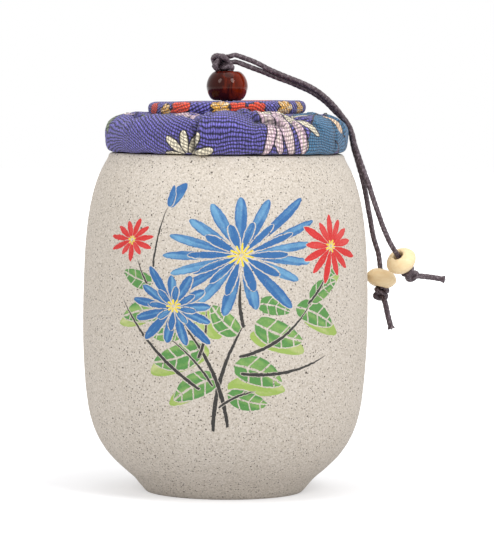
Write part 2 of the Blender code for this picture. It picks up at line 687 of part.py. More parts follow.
def main():
    clear_scene()
    materials = {
        "cork": make_material("Cork", (0.56, 0.38, 0.22), 0.85),
        "board": make_material("Fibreboard", (0.46, 0.33, 0.21), 0.8),
        "wadding": make_material("Cotton wadding", (0.88, 0.86, 0.80), 0.95),
        "cover cloth": make_material("Printed cotton", (0.13, 0.11, 0.34), 0.9),
        "thread": make_material("Sewing thread", (0.05, 0.05, 0.10), 0.8),
        "card": make_material("Grey card", (0.50, 0.47, 0.42), 0.85),
        "disc cloth": make_material("Printed cotton, disc", (0.30, 0.12, 0.20), 0.9),
        "cord": make_material("Waxed cotton cord", (0.06, 0.035, 0.04), 0.6),
        "pale wood": make_material("Pale wood", (0.80, 0.62, 0.38), 0.5),
    }
    build_pot(make_material("Speckled stoneware", (0.62, 0.57, 0.49), 0.75))
    lid = carry("lid", build_lid(materials))
    knob = carry("knob", [build_knob(make_material("Lacquered wood", (0.10, 0.008, 0.005), 0.15))])
    cord = carry("cord", build_free_cord(materials["cord"]))
    beads = [
        build_small_bead("small_bead_a", BEAD_A_MIDDLE, BEAD_A_AXIS, materials["pale wood"]),
        build_small_bead("small_bead_b", BEAD_B_MIDDLE, BEAD_B_AXIS, materials["pale wood"]),
    ]
    for rider in (knob, cord):
        rider.parent = lid
    for bead in beads:
        bead.parent = cord


main()
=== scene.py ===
"""Tea storage jar: camera, stage and finished surfaces over the jar's fixed construction.

A thrown stoneware pot with an underglaze spray of flowers, and a cork stopper lid under pleated cotton.
Metres, +Z up. The jar stands on z = 0 with its painted front towards -Y, and its cord hangs over +X.
"""

import math
from functools import partial

import bpy
import numpy as np
from bpy.props import FloatProperty, FloatVectorProperty, IntProperty, PointerProperty
from mathutils import Matrix, Vector, noise


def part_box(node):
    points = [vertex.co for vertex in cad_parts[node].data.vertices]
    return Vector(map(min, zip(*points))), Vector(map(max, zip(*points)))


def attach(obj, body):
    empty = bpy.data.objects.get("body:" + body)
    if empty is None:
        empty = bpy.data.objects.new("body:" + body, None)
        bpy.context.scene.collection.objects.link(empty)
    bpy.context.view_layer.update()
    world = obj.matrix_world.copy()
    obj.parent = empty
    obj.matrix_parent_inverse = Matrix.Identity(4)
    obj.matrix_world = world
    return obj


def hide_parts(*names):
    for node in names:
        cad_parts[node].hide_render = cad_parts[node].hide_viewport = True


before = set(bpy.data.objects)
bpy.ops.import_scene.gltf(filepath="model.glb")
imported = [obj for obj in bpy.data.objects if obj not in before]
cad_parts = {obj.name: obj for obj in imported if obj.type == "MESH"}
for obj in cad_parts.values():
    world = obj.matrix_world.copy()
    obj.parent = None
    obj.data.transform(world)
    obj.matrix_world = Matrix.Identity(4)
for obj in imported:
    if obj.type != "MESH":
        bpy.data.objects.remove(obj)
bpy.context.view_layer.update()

bl_info = {
    "name": "Tea storage jar",
    "version": (1, 0, 0),
    "blender": (4, 5, 0),
    "location": "3D View > Sidebar > Tea Jar",
    "description": "Dresses a stoneware tea jar: painted pot, pleated cloth lid, knotted cord and beads",
    "category": "Object",
}

MM = 0.001
ORIGIN = Vector((0.0, 0.0, 0.0))
UP = Vector((0.0, 0.0, 1.0))
DOWN = -UP
LEFT = Vector((-1.0, 0.0, 0.0))

# Camera of the photograph
PICTURE_HEIGHT = 534
FOCAL_PIXELS = 3214
CAMERA_DISTANCE = 0.904
CAMERA_HEIGHT = 0.117
AIM_HEIGHT = 0.0630
AIM_SIDE = 0.0060
CAMERA_ROLL = math.radians(0.5)

# Stage: the white sky lights the jar with this share, and the white paper shines back less near the foot
LIGHT_ON_JAR = 0.72
FLOOR_SIDE = 6.0
PAPER_LIFT_SPAN = (0.05, 0.35)
PAPER_LIFT = (0.38, 1.0)
LAMP_AIM = Vector((0.0, 0.0, 0.08))
SOFTBOXES = (
    ("Left softbox", (-0.55, -0.52, 0.62), (0.26, 0.42), 1.8),
    ("Right softbox", (0.46, -0.60, 0.66), (0.30, 0.44), 3.4),
    ("Top softbox", (0.1, -0.15, 1.0), (0.8, 0.8), 2.4),
)

# Cord, and its free ends as they lie over the lid's edge
CORD = 0.00145
CORD_SPACING = 0.00175
STRAND_A_ROUTE = (
    (.0033, .00025, .1203), (.0062, .0002, .1192), (.0090, .0003, .1181), (.0118, .0004, .1169),
    (.0146, .0005, .1158), (.0175, .0006, .1148), (.0203, .0006, .1136), (.0231, .0006, .1124),
    (.0257, .0006, .1108), (.0281, .0007, .1090), (.0303, .0008, .1069), (.0326, .0009, .1048),
    (.0345, .0009, .1025), (.0351, .0009, .0995), (.0357, .0009, .0966), (.0366, .0009, .0937),
    (.0375, .0009, .0907), (.0383, .0011, .0878), (.0390, .0016, .0849), (.0396, .0024, .0820),
    (.0401, .0036, .0793), (.0407, .005, .0766), (.0412, .0063, .0739), (.0418, .0077, .0712),
    (.0426, .009, .0687),
)
STRAND_B_ROUTE = (
    (.0034, -.0002, .1221), (.0063, -.0002, .1211), (.0091, -.0003, .1200), (.0118, -.0004, .1187),
    (.0146, -.0005, .1175), (.0174, -.0006, .1164), (.0203, -.0006, .1153), (.0230, -.0006, .1141),
    (.0257, -.0006, .1125), (.0280, -.0007, .1106), (.0301, -.0008, .1084), (.0320, -.0009, .1060),
    (.0338, -.0009, .1036), (.0351, -.0009, .1008), (.0358, -.0009, .0979), (.0368, -.0009, .0950),
    (.0378, -.0009, .0922), (.0389, -.0009, .0893), (.0400, -.0009, .0865), (.0409, -.001, .0836),
    (.0419, -.0013, .0807), (.0429, -.0017, .0779), (.0439, -.0021, .0751), (.0451, -.0025, .0723),
)
# Each strand: its route from the top knot; its bead's middle, the cord's way through it, its own axis and
# how much farther it leans when it hangs; its end knot's shift and side; its tail; and its way out of the
# top knot, as steps from the route's start
STRANDS = {
    "a": {
        "route": STRAND_A_ROUTE,
        "bead": Vector((0.0442, 0.0090, 0.0596)),
        "way": Vector((0.12, -0.12, -0.985)).normalized(),
        "axis": Vector((-0.11, -0.14, -0.984)).normalized(),
        "lean": Vector((-0.10, 0.0, 0.016)),
        "knot_shift": Vector((0.0, 0.0, 0.0)),
        "knot_side": Vector((-0.4, 0.9, 0.0)),
        "tail": ((0.0452, 0.0073, 0.0530), (0.0461, 0.0069, 0.0491), (0.0471, 0.0065, 0.0454)),
        "arch": ((-0.0024, 0.0, 0.0001), (-0.0012, 0.0, 0.00025)),
    },
    "b": {
        "route": STRAND_B_ROUTE,
        "bead": Vector((0.0494, 0.0010, 0.0650)),
        "way": Vector((0.467, 0.50, -0.729)).normalized(),
        "axis": Vector((0.44, 0.58, -0.686)).normalized(),
        "lean": Vector((0.0, 0.0, 0.0)),
        "knot_shift": Vector((0.0001, 0.0, -0.0002)),
        "knot_side": Vector((0.3, -0.9, -0.1)),
        "tail": ((0.0547, 0.0028, 0.0607), (0.0582, 0.0038, 0.0603), (0.0618, 0.0043, 0.0597)),
        "arch": ((-0.0026, 0.0, 0.0), (-0.0013, 0.0, 0.00035)),
    },
}
BEAD_HEIGHT = 0.0050
BEAD_TRAVEL = 0.0040

# Knots: the pitch that their turns are tied with, how much shorter than wide they are pulled, and the width
# shares of a cord drawn tight in them
TOP_KNOT = {"unit": 0.00102, "squeeze": 0.64}
TOP_KNOT_MIDDLE = (0.0010, 0.0026)
TOP_KNOT_REACH, TOP_KNOT_DRAWN = 0.0028, 0.94
# Its two cords lie this share of a cord off their common line, and part by this much where they leave the
# knot. They start this far down in the knob bead, and run on this far along the strand
TOP_KNOT_OFF_LINE = 0.42
TOP_KNOT_PARTING = np.array((0.0, -0.0002, 0.0007))
TOP_KNOT_BELOW, TOP_KNOT_AHEAD = 0.001, 0.0008
END_KNOT = {"unit": 0.00060, "squeeze": 0.75}
END_KNOT_REACH, END_KNOT_DRAWN = 0.0026, 0.98
END_KNOT_HALF = 0.0017
END_KNOT_LEAD = 0.0034
TAIL_WIDTH, TAIL_FLARE = 1.1, 1.4
LID_KNOT = {"unit": 0.00068}
LID_KNOT_SIDE, LID_KNOT_REACH, LID_KNOT_DRAWN = 0.0008, 0.0035, 0.86

# Knob bead: drawn a little taller than its solid, with its ends rounded in
KNOB_STRETCH_SHARE = 1.03
KNOB_ROUNDING = 0.0005
KNOB_BORE_EDGE = 0.002

# Twist of the cord: yarns laid round each other, one full turn in one lay
CORD_PLIES = 4
CORD_LAY = 0.0062
CORD_GROOVE_SHARE = 0.13
CORD_SIDES = 24
CORD_RING_STEP = 0.0003

# Over the disc, between these distances from the axis, the two strands lie this much nearer to their common
# line. Each strand ends this far below its bead
STRANDS_CLOSE = 0.0002
STRANDS_CLOSE_FROM, STRANDS_CLOSE_TO, STRANDS_CLOSE_FADE = 0.007, 0.031, 0.004
STRAND_PAST_BEAD = 0.0005

# Marks of the wheel: spiral pitch and height, slow swell, and the radius and height from which they show
WHEEL_PITCH, WHEEL_MARK = 0.0031, 0.00002
POT_SWELL = 0.00012
MARKED_RADIUS, MARKED_HEIGHT = 0.02, 0.0005

# Lid cloth
CLOTH = 0.0006
HEM_INNER_RADIUS = 0.0220
LID_FOOT_RADIUS = 0.0318
LID_RADIUS = 0.0340
SHOULDER_RADIUS = 0.0262
GATHER_RADIUS = 0.0026
BULGE_SHARE = 0.46
COVER_SIDES = 480
COVER_STEP = 0.0006
# Start and length of the ramps on which its forms come in: pleats on the top, the pleats' lean up the edge,
# folds past the hem in millimetres of cloth, and folds out from the gathered centre
TOP_RAMP = (SHOULDER_RADIUS - 0.006, 0.010)
LEAN_RAMP = (0.1, 0.8)
HEM_RAMP = (9.9, 1.6)
CENTRE_RAMP = (0.010, 0.008)
# Half widths of a pleat's valley on its two sides, its depth shares on the edge and on the top, and how
# much shade is painted in it; and how far the padding puffs the cloth out between pleats on the edge and on
# the top
PLEAT_AFTER, PLEAT_BEFORE = 0.0011, 0.0019
PLEAT_ON_EDGE, PLEAT_ON_TOP = 0.55, 0.45
PLEAT_SHADE = 0.7
PUFF_ON_EDGE, PUFF_ON_TOP = 0.00035, 0.0006

# Disc: half its cloth's thickness, its hem's radius, how square its edge bows, and its lumps
DISC_HALF_CLOTH = 0.00025
DISC_HEM_RADIUS = 0.0150
DISC_BOW = 0.75
DISC_LUMP, DISC_RUCK = 0.00022, 0.00005


def linear(code):
    """Linear colour of an sRGB hex value."""
    shares = [int(code[i : i + 2], 16) / 255 for i in (1, 3, 5)]
    return tuple(s / 12.92 if s <= 0.04045 else ((s + 0.055) / 1.055) ** 2.4 for s in shares)


def colour_setting(code, told):
    return FloatVectorProperty(name=told, subtype="COLOR", size=3, min=0.0, max=1.0, default=linear(code))


class TEAJAR_PG_colours(bpy.types.PropertyGroup):
    clay: colour_setting("#dad1c6", "Fired body of the pot")
    clay_shade: colour_setting("#b4a999", "Darker grains and clouds in the body")
    iron: colour_setting("#3b3229", "Burnt-out iron in the clay")
    blue: colour_setting("#1c629f", "Petals of the large blossoms")
    pale_blue: colour_setting("#6ba4ca", "Thin pigment at the petals' ends")
    green: colour_setting("#4d8a3f", "Leaves")
    pale_green: colour_setting("#8db25e", "Thin pigment on the leaves")
    young_green: colour_setting("#98b453", "Thin wash under the leaves")
    young_wash: colour_setting("#c3c98a", "Palest part of the wash under the leaves")
    red: colour_setting("#cf1717", "Small blossoms and buds")
    pale_red: colour_setting("#dc4a48", "Thin pigment on the small blossoms")
    yellow: colour_setting("#f0d615", "Stamens")
    black: colour_setting("#1a1917", "Stems")
    indigo: colour_setting("#504a88", "Ground of the printed cotton")
    orange: colour_setting("#d8482b", "Print on the top disc")
    gold: colour_setting("#e0a53e", "Print on the top disc")
    cream: colour_setting("#e6dcc2", "Petals of the print")
    pink: colour_setting("#dcbccb", "Petals of the print")
    teal: colour_setting("#3d6f92", "Leaves of the print")
    sage: colour_setting("#6f7b5c", "Small leaves of the print")
    peach: colour_setting("#ecc9a4", "Patch of the print")
    rose: colour_setting("#d96f9a", "Streak of the print")
    outline: colour_setting("#23202b", "Dark lines of the print")
    lacquer: colour_setting("#330a06", "Dark wood of the knob bead")
    # Painted glow: the red of lit wood, laid on the knob's +X side
    lacquer_painted_glow: colour_setting("#8c2a08", "Red wood where the lacquer is thin")
    cord: colour_setting("#43343a", "Waxed cotton")
    cord_wax: colour_setting("#8f8288", "Wax bloom in the cord's grooves")
    pale_wood: colour_setting("#fde4b6", "Small beads")
    pale_grain: colour_setting("#f4d29b", "Growth rings of the small beads")


class TEAJAR_PG_sizes(bpy.types.PropertyGroup):
    warp_pitch: FloatProperty(
        name="Warp pitch", description="Distance between threads that run up the lid's edge",
        default=0.00076, unit="LENGTH",
    )
    weft_pitch: FloatProperty(
        name="Weft pitch", description="Distance between threads that run round the lid",
        default=0.00082, unit="LENGTH",
    )
    pleat_depth: FloatProperty(
        name="Pleat depth", description="How deep the lid's cloth is drawn in at a pleat",
        default=0.0013, unit="LENGTH",
    )
    disc_tilt: FloatProperty(
        name="Disc tilt", description="How far the top disc leans towards its left side",
        default=math.radians(1.1), unit="ROTATION", subtype="ANGLE",
    )
    speck_spacing: FloatProperty(
        name="Speck spacing", description="Distance between iron specks in the clay",
        default=0.0017, unit="LENGTH",
    )
    pot_sides: IntProperty(name="Pot sides", description="Steps round the thrown pot", default=192, min=24)


SMOOTH = {"interpolation_type": "SMOOTHSTEP", "clamp": False}
COLOUR_MIX = {"data_type": "RGBA"}
BRUSH_EDGE = 0.16
HALF = (0.5, 0.5, 0.5)
WHITE = (1.0, 1.0, 1.0, 1.0)


def add_node(tree, kind, *values, out="", **named):
    """Adds a node and returns its first output, the output of that name, or with None the node itself.

    Kind may be followed by an operation. Values go into the open inputs in their order. A name with a capital
    is an input too, and any other name is a setting. Another node's output, given as a value, is linked.
    """
    kind, _, operation = kind.partition(" ")
    node = tree.nodes.new(kind if kind.startswith("Node") else "ShaderNode" + kind)
    if operation:
        node.operation = operation
    for name, value in named.items():
        if name.islower():
            setattr(node, name, value)
    inputs = list(zip([socket for socket in node.inputs if socket.enabled], values))
    inputs += [(node.inputs[name.replace("_", " ")], named[name]) for name in named if not name.islower()]
    for socket, value in inputs:
        if isinstance(value, bpy.types.NodeSocket):
            tree.links.new(value, socket)
        else:
            socket.default_value = value
    if out is None:
        return node
    return node.outputs[out] if out else next(socket for socket in node.outputs if socket.enabled)


def start_group(name, takes, gives):
    """A node group with sockets told by kind and name, the add_node of its tree, and what it is given."""
    group = bpy.data.node_groups.new(name, "ShaderNodeTree")
    for way, sockets in (("INPUT", takes), ("OUTPUT", gives)):
        for socket in sockets:
            kind, _, title = socket.partition(" ")
            group.interface.new_socket(title, in_out=way, socket_type="NodeSocket" + kind)
    add = partial(add_node, group)
    return group, add, add("NodeGroupInput", out=None).outputs


def start_material(name, **shader_values):
    """A material with one Principled shader, its constants on the shader's own sockets, and its add_node."""
    material = bpy.data.materials.new(name)
    material.use_nodes = True
    material.node_tree.nodes.clear()
    add = partial(add_node, material.node_tree)
    shader = add("BsdfPrincipled", out=None, **shader_values)
    add("OutputMaterial", shader.outputs["BSDF"], out=None)
    return material, add, shader


def rgba(colour):
    return (*colour[:3], 1.0)


def finish_surface(shader, colour, roughness=None, height=None, relief=0.0):
    """Links colour, roughness and a bump of the given relief in metres to the shader."""
    links = shader.id_data.links
    links.new(colour, shader.inputs["Base Color"])
    if roughness is not None:
        links.new(roughness, shader.inputs["Roughness"])
    if height is not None:
        bump = add_node(shader.id_data, "Bump", Height=height, Distance=relief)
        links.new(bump, shader.inputs["Normal"])


def brush_stroke_group():
    """Lays one tapered stroke over what is painted below it. Lengths are millimetres on the painted surface.

    Length way and width way turn a place into shares of the stroke's length and half width. The tapers say
    how blunt its ends are: near 0 is square, 1 is pointed. Its rim is the ring, one gap wide, in which the
    colour below is kept off or outlined.
    """
    group, add, given = start_group(
        "Brush stroke",
        ("Vector Place", "Vector Root", "Vector Length way", "Vector Width way", "Float Half width",
         "Float Seed", "Float Bend", "Float Root taper", "Float Tip taper", "Float Veins", "Float Gap",
         "Float Tone", "Color Ink", "Color Pale ink", "Color Rim", "Color Below", "Float Below cover"),
        ("Color Colour", "Float Cover"),
    )
    local = add("VectorMath SUBTRACT", given["Place"], given["Root"])
    share_along = add("VectorMath DOT_PRODUCT", local, given["Length way"])
    share_across = add("VectorMath DOT_PRODUCT", local, given["Width way"])
    along = add("Clamp", share_along)
    left = add("Math SUBTRACT", 1.0, along)
    bent = add("Math MULTIPLY_ADD", add("Math MULTIPLY", along, left), given["Bend"], share_across)
    across = add("Math ABSOLUTE", bent)
    root = add("Math POWER", along, given["Root taper"])
    tip = add("Math POWER", left, given["Tip taper"])
    inside = add("Math SUBTRACT", add("Math MULTIPLY", root, tip), across)
    sideways = add("Math MULTIPLY", inside, given["Half width"])
    past_root = add("Math MULTIPLY", share_along, 20.0)
    past_tip = add("Math MULTIPLY", add("Math SUBTRACT", 1.0, share_along), 20.0)
    depth = add("Math MINIMUM", sideways, add("Math MINIMUM", past_root, past_tip))
    inner = add("MapRange", depth, 0.0, BRUSH_EDGE, **SMOOTH)
    outer = add("MapRange", add("Math ADD", depth, given["Gap"]), 0.0, BRUSH_EDGE, **SMOOTH)

    # Veins: a midrib, and side veins that run forward from it
    midrib = add("MapRange", across, 0.012, 0.05, **SMOOTH)
    steps = add("Math MULTIPLY", add("Math MULTIPLY_ADD", across, -0.28, share_along), 7.5)
    side_vein = add("MapRange", add("Math PINGPONG", steps, 1.0), 0.05, 0.15, **SMOOTH)
    bare = add("Math SUBTRACT", 1.0, add("Math MINIMUM", midrib, side_vein))
    solid = add("Math SUBTRACT", 1.0, add("Math MULTIPLY", bare, given["Veins"]))
    inked = add("Math MULTIPLY", inner, solid)

    # Pigment thins towards the tip and in the bristles' streaks, and pools at the stroke's edge
    lengthwise = add("Math MULTIPLY_ADD", share_along, 1.1, given["Seed"])
    own = add("VectorMath DOT_PRODUCT", given["Place"], (0.0, 0.0, 0.7))
    streaked = add("Math ADD", own, given["Tone"])
    for pitch_share, drift, strength in ((4.3, 1.0, 0.30), (9.7, 2.3, 0.24), (21.0, 4.1, 0.16)):
        bristle = add("Math MULTIPLY_ADD", bent, pitch_share, add("Math MULTIPLY", lengthwise, drift))
        streaked = add("Math MULTIPLY_ADD", add("Math SINE", bristle), strength, streaked)
    edged = add("Math ADD", streaked, add("MapRange", depth, 0.1, 1.1, -0.45, 0.0, **SMOOTH))
    thin = add("Math MULTIPLY_ADD", along, 0.45, edged)
    pigment = add("Mix", thin, given["Ink"], given["Pale ink"], **COLOUR_MIX)
    cleared = add("Mix", outer, given["Below"], given["Rim"], **COLOUR_MIX)
    laid = add("Mix", inked, cleared, pigment, **COLOUR_MIX)
    below = add("Math MULTIPLY", given["Below cover"], add("Math SUBTRACT", 1.0, outer))
    add("NodeGroupOutput", laid, add("Math MAXIMUM", below, inked), out=None)
    return group


def petal_ring_group():
    """Folds the surface round a centre, so that one stroke painted along X repeats as a ring of petals.

    Each petal has a reach of its own, and how thin its pigment is goes out as the place's Z.
    """
    group, add, given = start_group(
        "Petal ring", ("Vector Place", "Vector Centre", "Vector X way", "Vector Y way", "Float Petals"),
        ("Vector Place",),
    )
    local = add("VectorMath SUBTRACT", given["Place"], given["Centre"])
    x_share = add("VectorMath DOT_PRODUCT", local, given["X way"])
    y_share = add("VectorMath DOT_PRODUCT", local, given["Y way"])
    squares = add("Math MULTIPLY_ADD", y_share, y_share, add("Math MULTIPLY", x_share, x_share))
    away = add("Math SQRT", squares)
    step = add("Math DIVIDE", math.tau, given["Petals"])
    petal = add("Math DIVIDE", add("Math ARCTAN2", y_share, x_share), step)
    nearest = add("Math ROUND", petal)
    folded = add("Math MULTIPLY", add("Math SUBTRACT", petal, nearest), step)
    lot = add("Math MULTIPLY_ADD", nearest, 1.37, given["Petals"])
    chance = add("TexWhiteNoise", lot, noise_dimensions="1D")
    far = add("Math MULTIPLY", away, add("Math MULTIPLY_ADD", chance, 0.36, 0.86))
    x = add("Math MULTIPLY", far, add("Math COSINE", folded))
    y = add("Math MULTIPLY", away, add("Math SINE", folded))
    place = add("CombineXYZ", x, y, add("Math SUBTRACT", chance, 0.5))
    add("NodeGroupOutput", place, out=None)
    return group


class Painting:
    """Strokes laid one over another on a surface, each a node group linked to the one before."""

    def __init__(self, add, place, tone, ground, rim):
        self.add, self.place, self.tone, self.rim = add, place, tone, rim
        self.colour, self.cover = ground, 0.0
        self.stroke_group = bpy.data.node_groups.get("Brush stroke") or brush_stroke_group()
        self.ring_group = bpy.data.node_groups.get("Petal ring") or petal_ring_group()

    def stroke(self, root, tip, width, ink, bend, tapers, veins=0.0, gap=0.0, place=None):
        """A stroke from root to tip, in millimetres. Ink is a pair of colours, full and thin."""
        way = Vector(tip) - Vector(root)
        unit = way.normalized()
        fullest = tapers[0] / sum(tapers)
        half_width = width / 2 / (fullest ** tapers[0] * (1 - fullest) ** tapers[1])
        outputs = self.add(
            "Group", out=None, node_tree=self.stroke_group, Place=place or self.place, Root=(*root, 0.0),
            Length_way=(*(unit / way.length), 0.0),
            Width_way=(-unit.y / half_width, unit.x / half_width, 0.0), Half_width=half_width,
            Seed=root[0] * 2.3 + tip[1] * 1.7, Bend=-4 * bend / half_width, Root_taper=tapers[0],
            Tip_taper=tapers[1], Veins=veins, Gap=gap, Tone=self.tone, Ink=rgba(ink[0]),
            Pale_ink=rgba(ink[1]), Rim=self.rim, Below=self.colour, Below_cover=self.cover,
        ).outputs
        self.colour, self.cover = outputs["Colour"], outputs["Cover"]

    def strokes(self, ink, tapers, rows, **look):
        """Strokes in one ink. A row has a root, a tip, a width and a bend."""
        for root, tip, width, bend in rows:
            self.stroke(root, tip, width, ink, bend, tapers, **look)

    def petals(self, centre, turn, squash, count, inner, outer, width, ink, tapers, gap):
        """A ring of like petals about a centre, seen at a slant where squash is under 1."""
        lean = math.radians(turn)
        ring = self.add(
            "Group", node_tree=self.ring_group, Place=self.place, Centre=(*centre, 0.0), Petals=count,
            X_way=(math.cos(lean), math.sin(lean), 0.0),
            Y_way=(-math.sin(lean) / squash, math.cos(lean) / squash, 0.0),
        )
        self.stroke((inner, 0.0), (outer, 0.0), width, ink, 0.0, tapers, gap=gap, place=ring)


def paint_spray(add, place, tone, ground, colours):
    """The pot's painted spray: open daisies, buds, veined leaves and long blades on a branching stem."""
    painting = Painting(add, place, tone, ground, ground)
    blue = (colours.blue, colours.pale_blue)
    red = (colours.red, colours.pale_red)
    green = (colours.green, colours.pale_green)
    young = (colours.young_green, colours.young_wash)
    yellow = (colours.yellow, colours.yellow)
    black = (colours.black, colours.black)
    # A thin wash of young green lies under the leaves and shows past their edges
    painting.strokes(young, (0.5, 0.6), (
        ((1, 33), (17.5, 31.8), 6, 0.8), ((-4, 43), (-21, 36), 7.6, -0.8), ((7, 47), (23, 42), 6.4, 0.8),
        ((-1, 46), (-9, 57), 5.5, 0.8), ((22, 52), (35, 46.5), 5, 0.4),
        ((-17, 55), (-31.8, 49), 5.4, 0.4), ((-2, 35), (-15.5, 27.6), 5.6, -0.6),
        ((25.5, 57), (36, 62.5), 4.4, 0.4),
    ))
    painting.strokes(green, (0.5, 0.7), (
        ((2.5, 39), (16.5, 33.5), 7.6, 0.8), ((-1.5, 35.5), (-14, 29), 7, -0.8),
        ((-5.5, 44), (-20, 39), 7.2, 0.9), ((8, 50.5), (22.5, 45), 7.2, -0.7),
        ((4, 47), (-3.5, 55), 6, 0.6), ((20, 54.5), (33, 49), 6.4, 0.7),
        ((-15, 53.5), (-30.5, 51), 6.4, -0.8), ((0.8, 31), (12.5, 28), 5.4, -0.6),
        ((-10, 48.5), (-21, 46.6), 5, 0.5), ((24.5, 56), (34.5, 61), 5.4, 0.6),
        ((9, 55.5), (18.5, 53), 5.2, 0.5), ((-20.5, 60.5), (-30.5, 63.5), 5, 0.5),
        ((29.5, 63), (37.5, 67.5), 4.2, -0.4),
    ), veins=1, gap=0.3)
    painting.strokes(black, (0.12, 0.45), (
        ((-3, 20.5), (5.5, 50), 1.4, 2), ((5.3, 49), (4.5, 62), 1.2, 0.7),
        ((1.2, 21.5), (-12.5, 51), 1.3, -2.6), ((-12, 50), (-26, 67.5), 1, 1.8),
        ((4, 41), (25, 55.5), 1.1, -2.6), ((24, 55), (32.5, 66), 0.9, -0.8),
        ((-7, 40.5), (-5, 54), 1, -0.9), ((-1.5, 27), (9, 31.6), 0.9, 0.9),
        ((-6.5, 32), (-31, 56.5), 1.1, 1.8), ((4.5, 36.5), (31, 41), 1.1, -2),
        ((-20.5, 62), (-16.5, 82), 0.8, 1), ((-3, 33), (-15.5, 46), 0.8, -1),
    ), gap=0.1)
    for centre, turn, squash, rings in (
        ((4.5, 68.5), 8, 0.66, ((17, 3.2, 24.5, 3.7, 0.3), (12, 1.8, 14.5, 2.7, 0.3))),
        ((-14, 54), -20, 0.82, ((13, 1.2, 12.6, 2.9, 0.3), (8, 0.8, 7, 2, 0.25))),
    ):
        for count, inner, outer, width, gap in rings:
            painting.petals(centre, turn, squash, count, inner, outer, width, blue, (0.85, 0.5), gap)
            turn += 13.0
    painting.petals((33, 70.5), 8, 0.86, 13, 0.8, 10.4, 2.5, red, (0.85, 0.6), 0.25)
    painting.petals((-28, 72), 8, 0.76, 11, 0.5, 7.4, 2.1, red, (0.85, 0.6), 0.25)
    painting.stroke((-16.6, 81.4), (-11.4, 87.5), 3.8, blue, 0.3, (0.4, 0.6), gap=0.2)
    painting.stroke((-16.5, 81.2), (-15.6, 87), 2.4, blue, -0.2, (0.4, 0.6), gap=0.2)
    for centre, count, reach in (
        ((4.5, 68.5), 11, 3.6), ((-14, 54.5), 9, 2.2), ((33, 70.5), 8, 2), ((-28, 72), 7, 1.4),
    ):
        painting.petals(centre, 20, 0.85, count, 0.5, reach, 0.7, yellow, (0.3, 0.2), 0)
    return painting


def speckled_stoneware(colours, sizes, painted):
    """Iron-bearing stoneware, thrown and fired unglazed: matt, sandy, with burnt-out specks of iron.

    The painted one carries an underglaze spray, which lies flat in the clay and is a little smoother than it.
    """
    name = "Speckled stoneware, painted" if painted else "Speckled stoneware, bare"
    material, add, shader = start_material(name, Roughness=0.8, IOR=1.5)
    place = add("TexCoord", out="Object")
    cloud = add("TexNoise", place, Scale=1 / 0.022, Detail=3.0, Roughness=0.6)
    sand = add("TexNoise", place, Scale=1 / 0.0005, Detail=2.0, Roughness=0.7)
    grain = add("Math MULTIPLY_ADD", sand, 1.8, add("Math MULTIPLY_ADD", cloud, 0.25, -0.12))
    shaded = add("MapRange", grain, 0.7, 1.15, To_Max=0.8)
    body = add("Mix", shaded, rgba(colours.clay), rgba(colours.clay_shade), **COLOUR_MIX)

    # Iron specks in three sizes: each Voronoi cell holds at most one, of its own random size
    iron = None
    for spacing_share, largest, rarity, weight in (
        (2.2, 0.00040, 1.3, 1.0), (0.9, 0.00027, 1.0, 1.0), (0.42, 0.00019, 0.5, 0.95)
    ):
        spacing = sizes.speck_spacing * spacing_share
        cells = add("TexVoronoi", place, Scale=1 / spacing, Randomness=1.0, out=None).outputs
        size = add("Math POWER", add("SeparateColor", cells["Color"]), rarity)
        edge = add("Math MULTIPLY", size, largest / spacing)
        speck = add("MapRange", add("Math SUBTRACT", edge, cells["Distance"]), -0.02, 0.05)
        burnt = add("Math MULTIPLY", speck, weight)
        iron = add("Math MAXIMUM", iron, burnt) if iron else burnt
    strength = add("Math MULTIPLY", iron, 0.95)
    clay = add("Mix", strength, body, rgba(colours.iron), **COLOUR_MIX)
    colour, roughness = clay, None
    if painted:
        axes = add("SeparateXYZ", place, out=None).outputs
        turn = add("Math ARCTAN2", axes["X"], add("Math MULTIPLY", axes["Y"], -1.0))
        round_way = add("Math MULTIPLY", turn, pot_radius() / MM)
        height = add("Math MULTIPLY", axes["Z"], 1 / MM)
        wrapped = add("CombineXYZ", round_way, height)
        ragged = add("TexNoise", place, Scale=1 / 0.0011, Detail=2.0, out="Color")
        shake = add("VectorMath SUBTRACT", ragged, HALF)
        brushed = add("VectorMath MULTIPLY_ADD", shake, (0.5, 0.5, 0.0), wrapped)
        washes = add("TexNoise", place, Scale=1 / 0.004, Detail=4.0, Roughness=0.7)
        tone = add("Math MULTIPLY_ADD", washes, 1.6, -0.85)
        painting = paint_spray(add, brushed, tone, clay, colours)
        soaked = add("MapRange", sand, 0.6, 0.8, 0.98, 0.62)
        cover = add("Math MULTIPLY", painting.cover, soaked)
        colour = add("Mix", cover, clay, painting.colour, **COLOUR_MIX)
        roughness = add("MapRange", cover, To_Min=0.82, To_Max=0.62)
    relief = add("Math MULTIPLY_ADD", iron, -0.5, sand)
    finish_surface(shader, colour, roughness, relief, 0.00012)
    return material


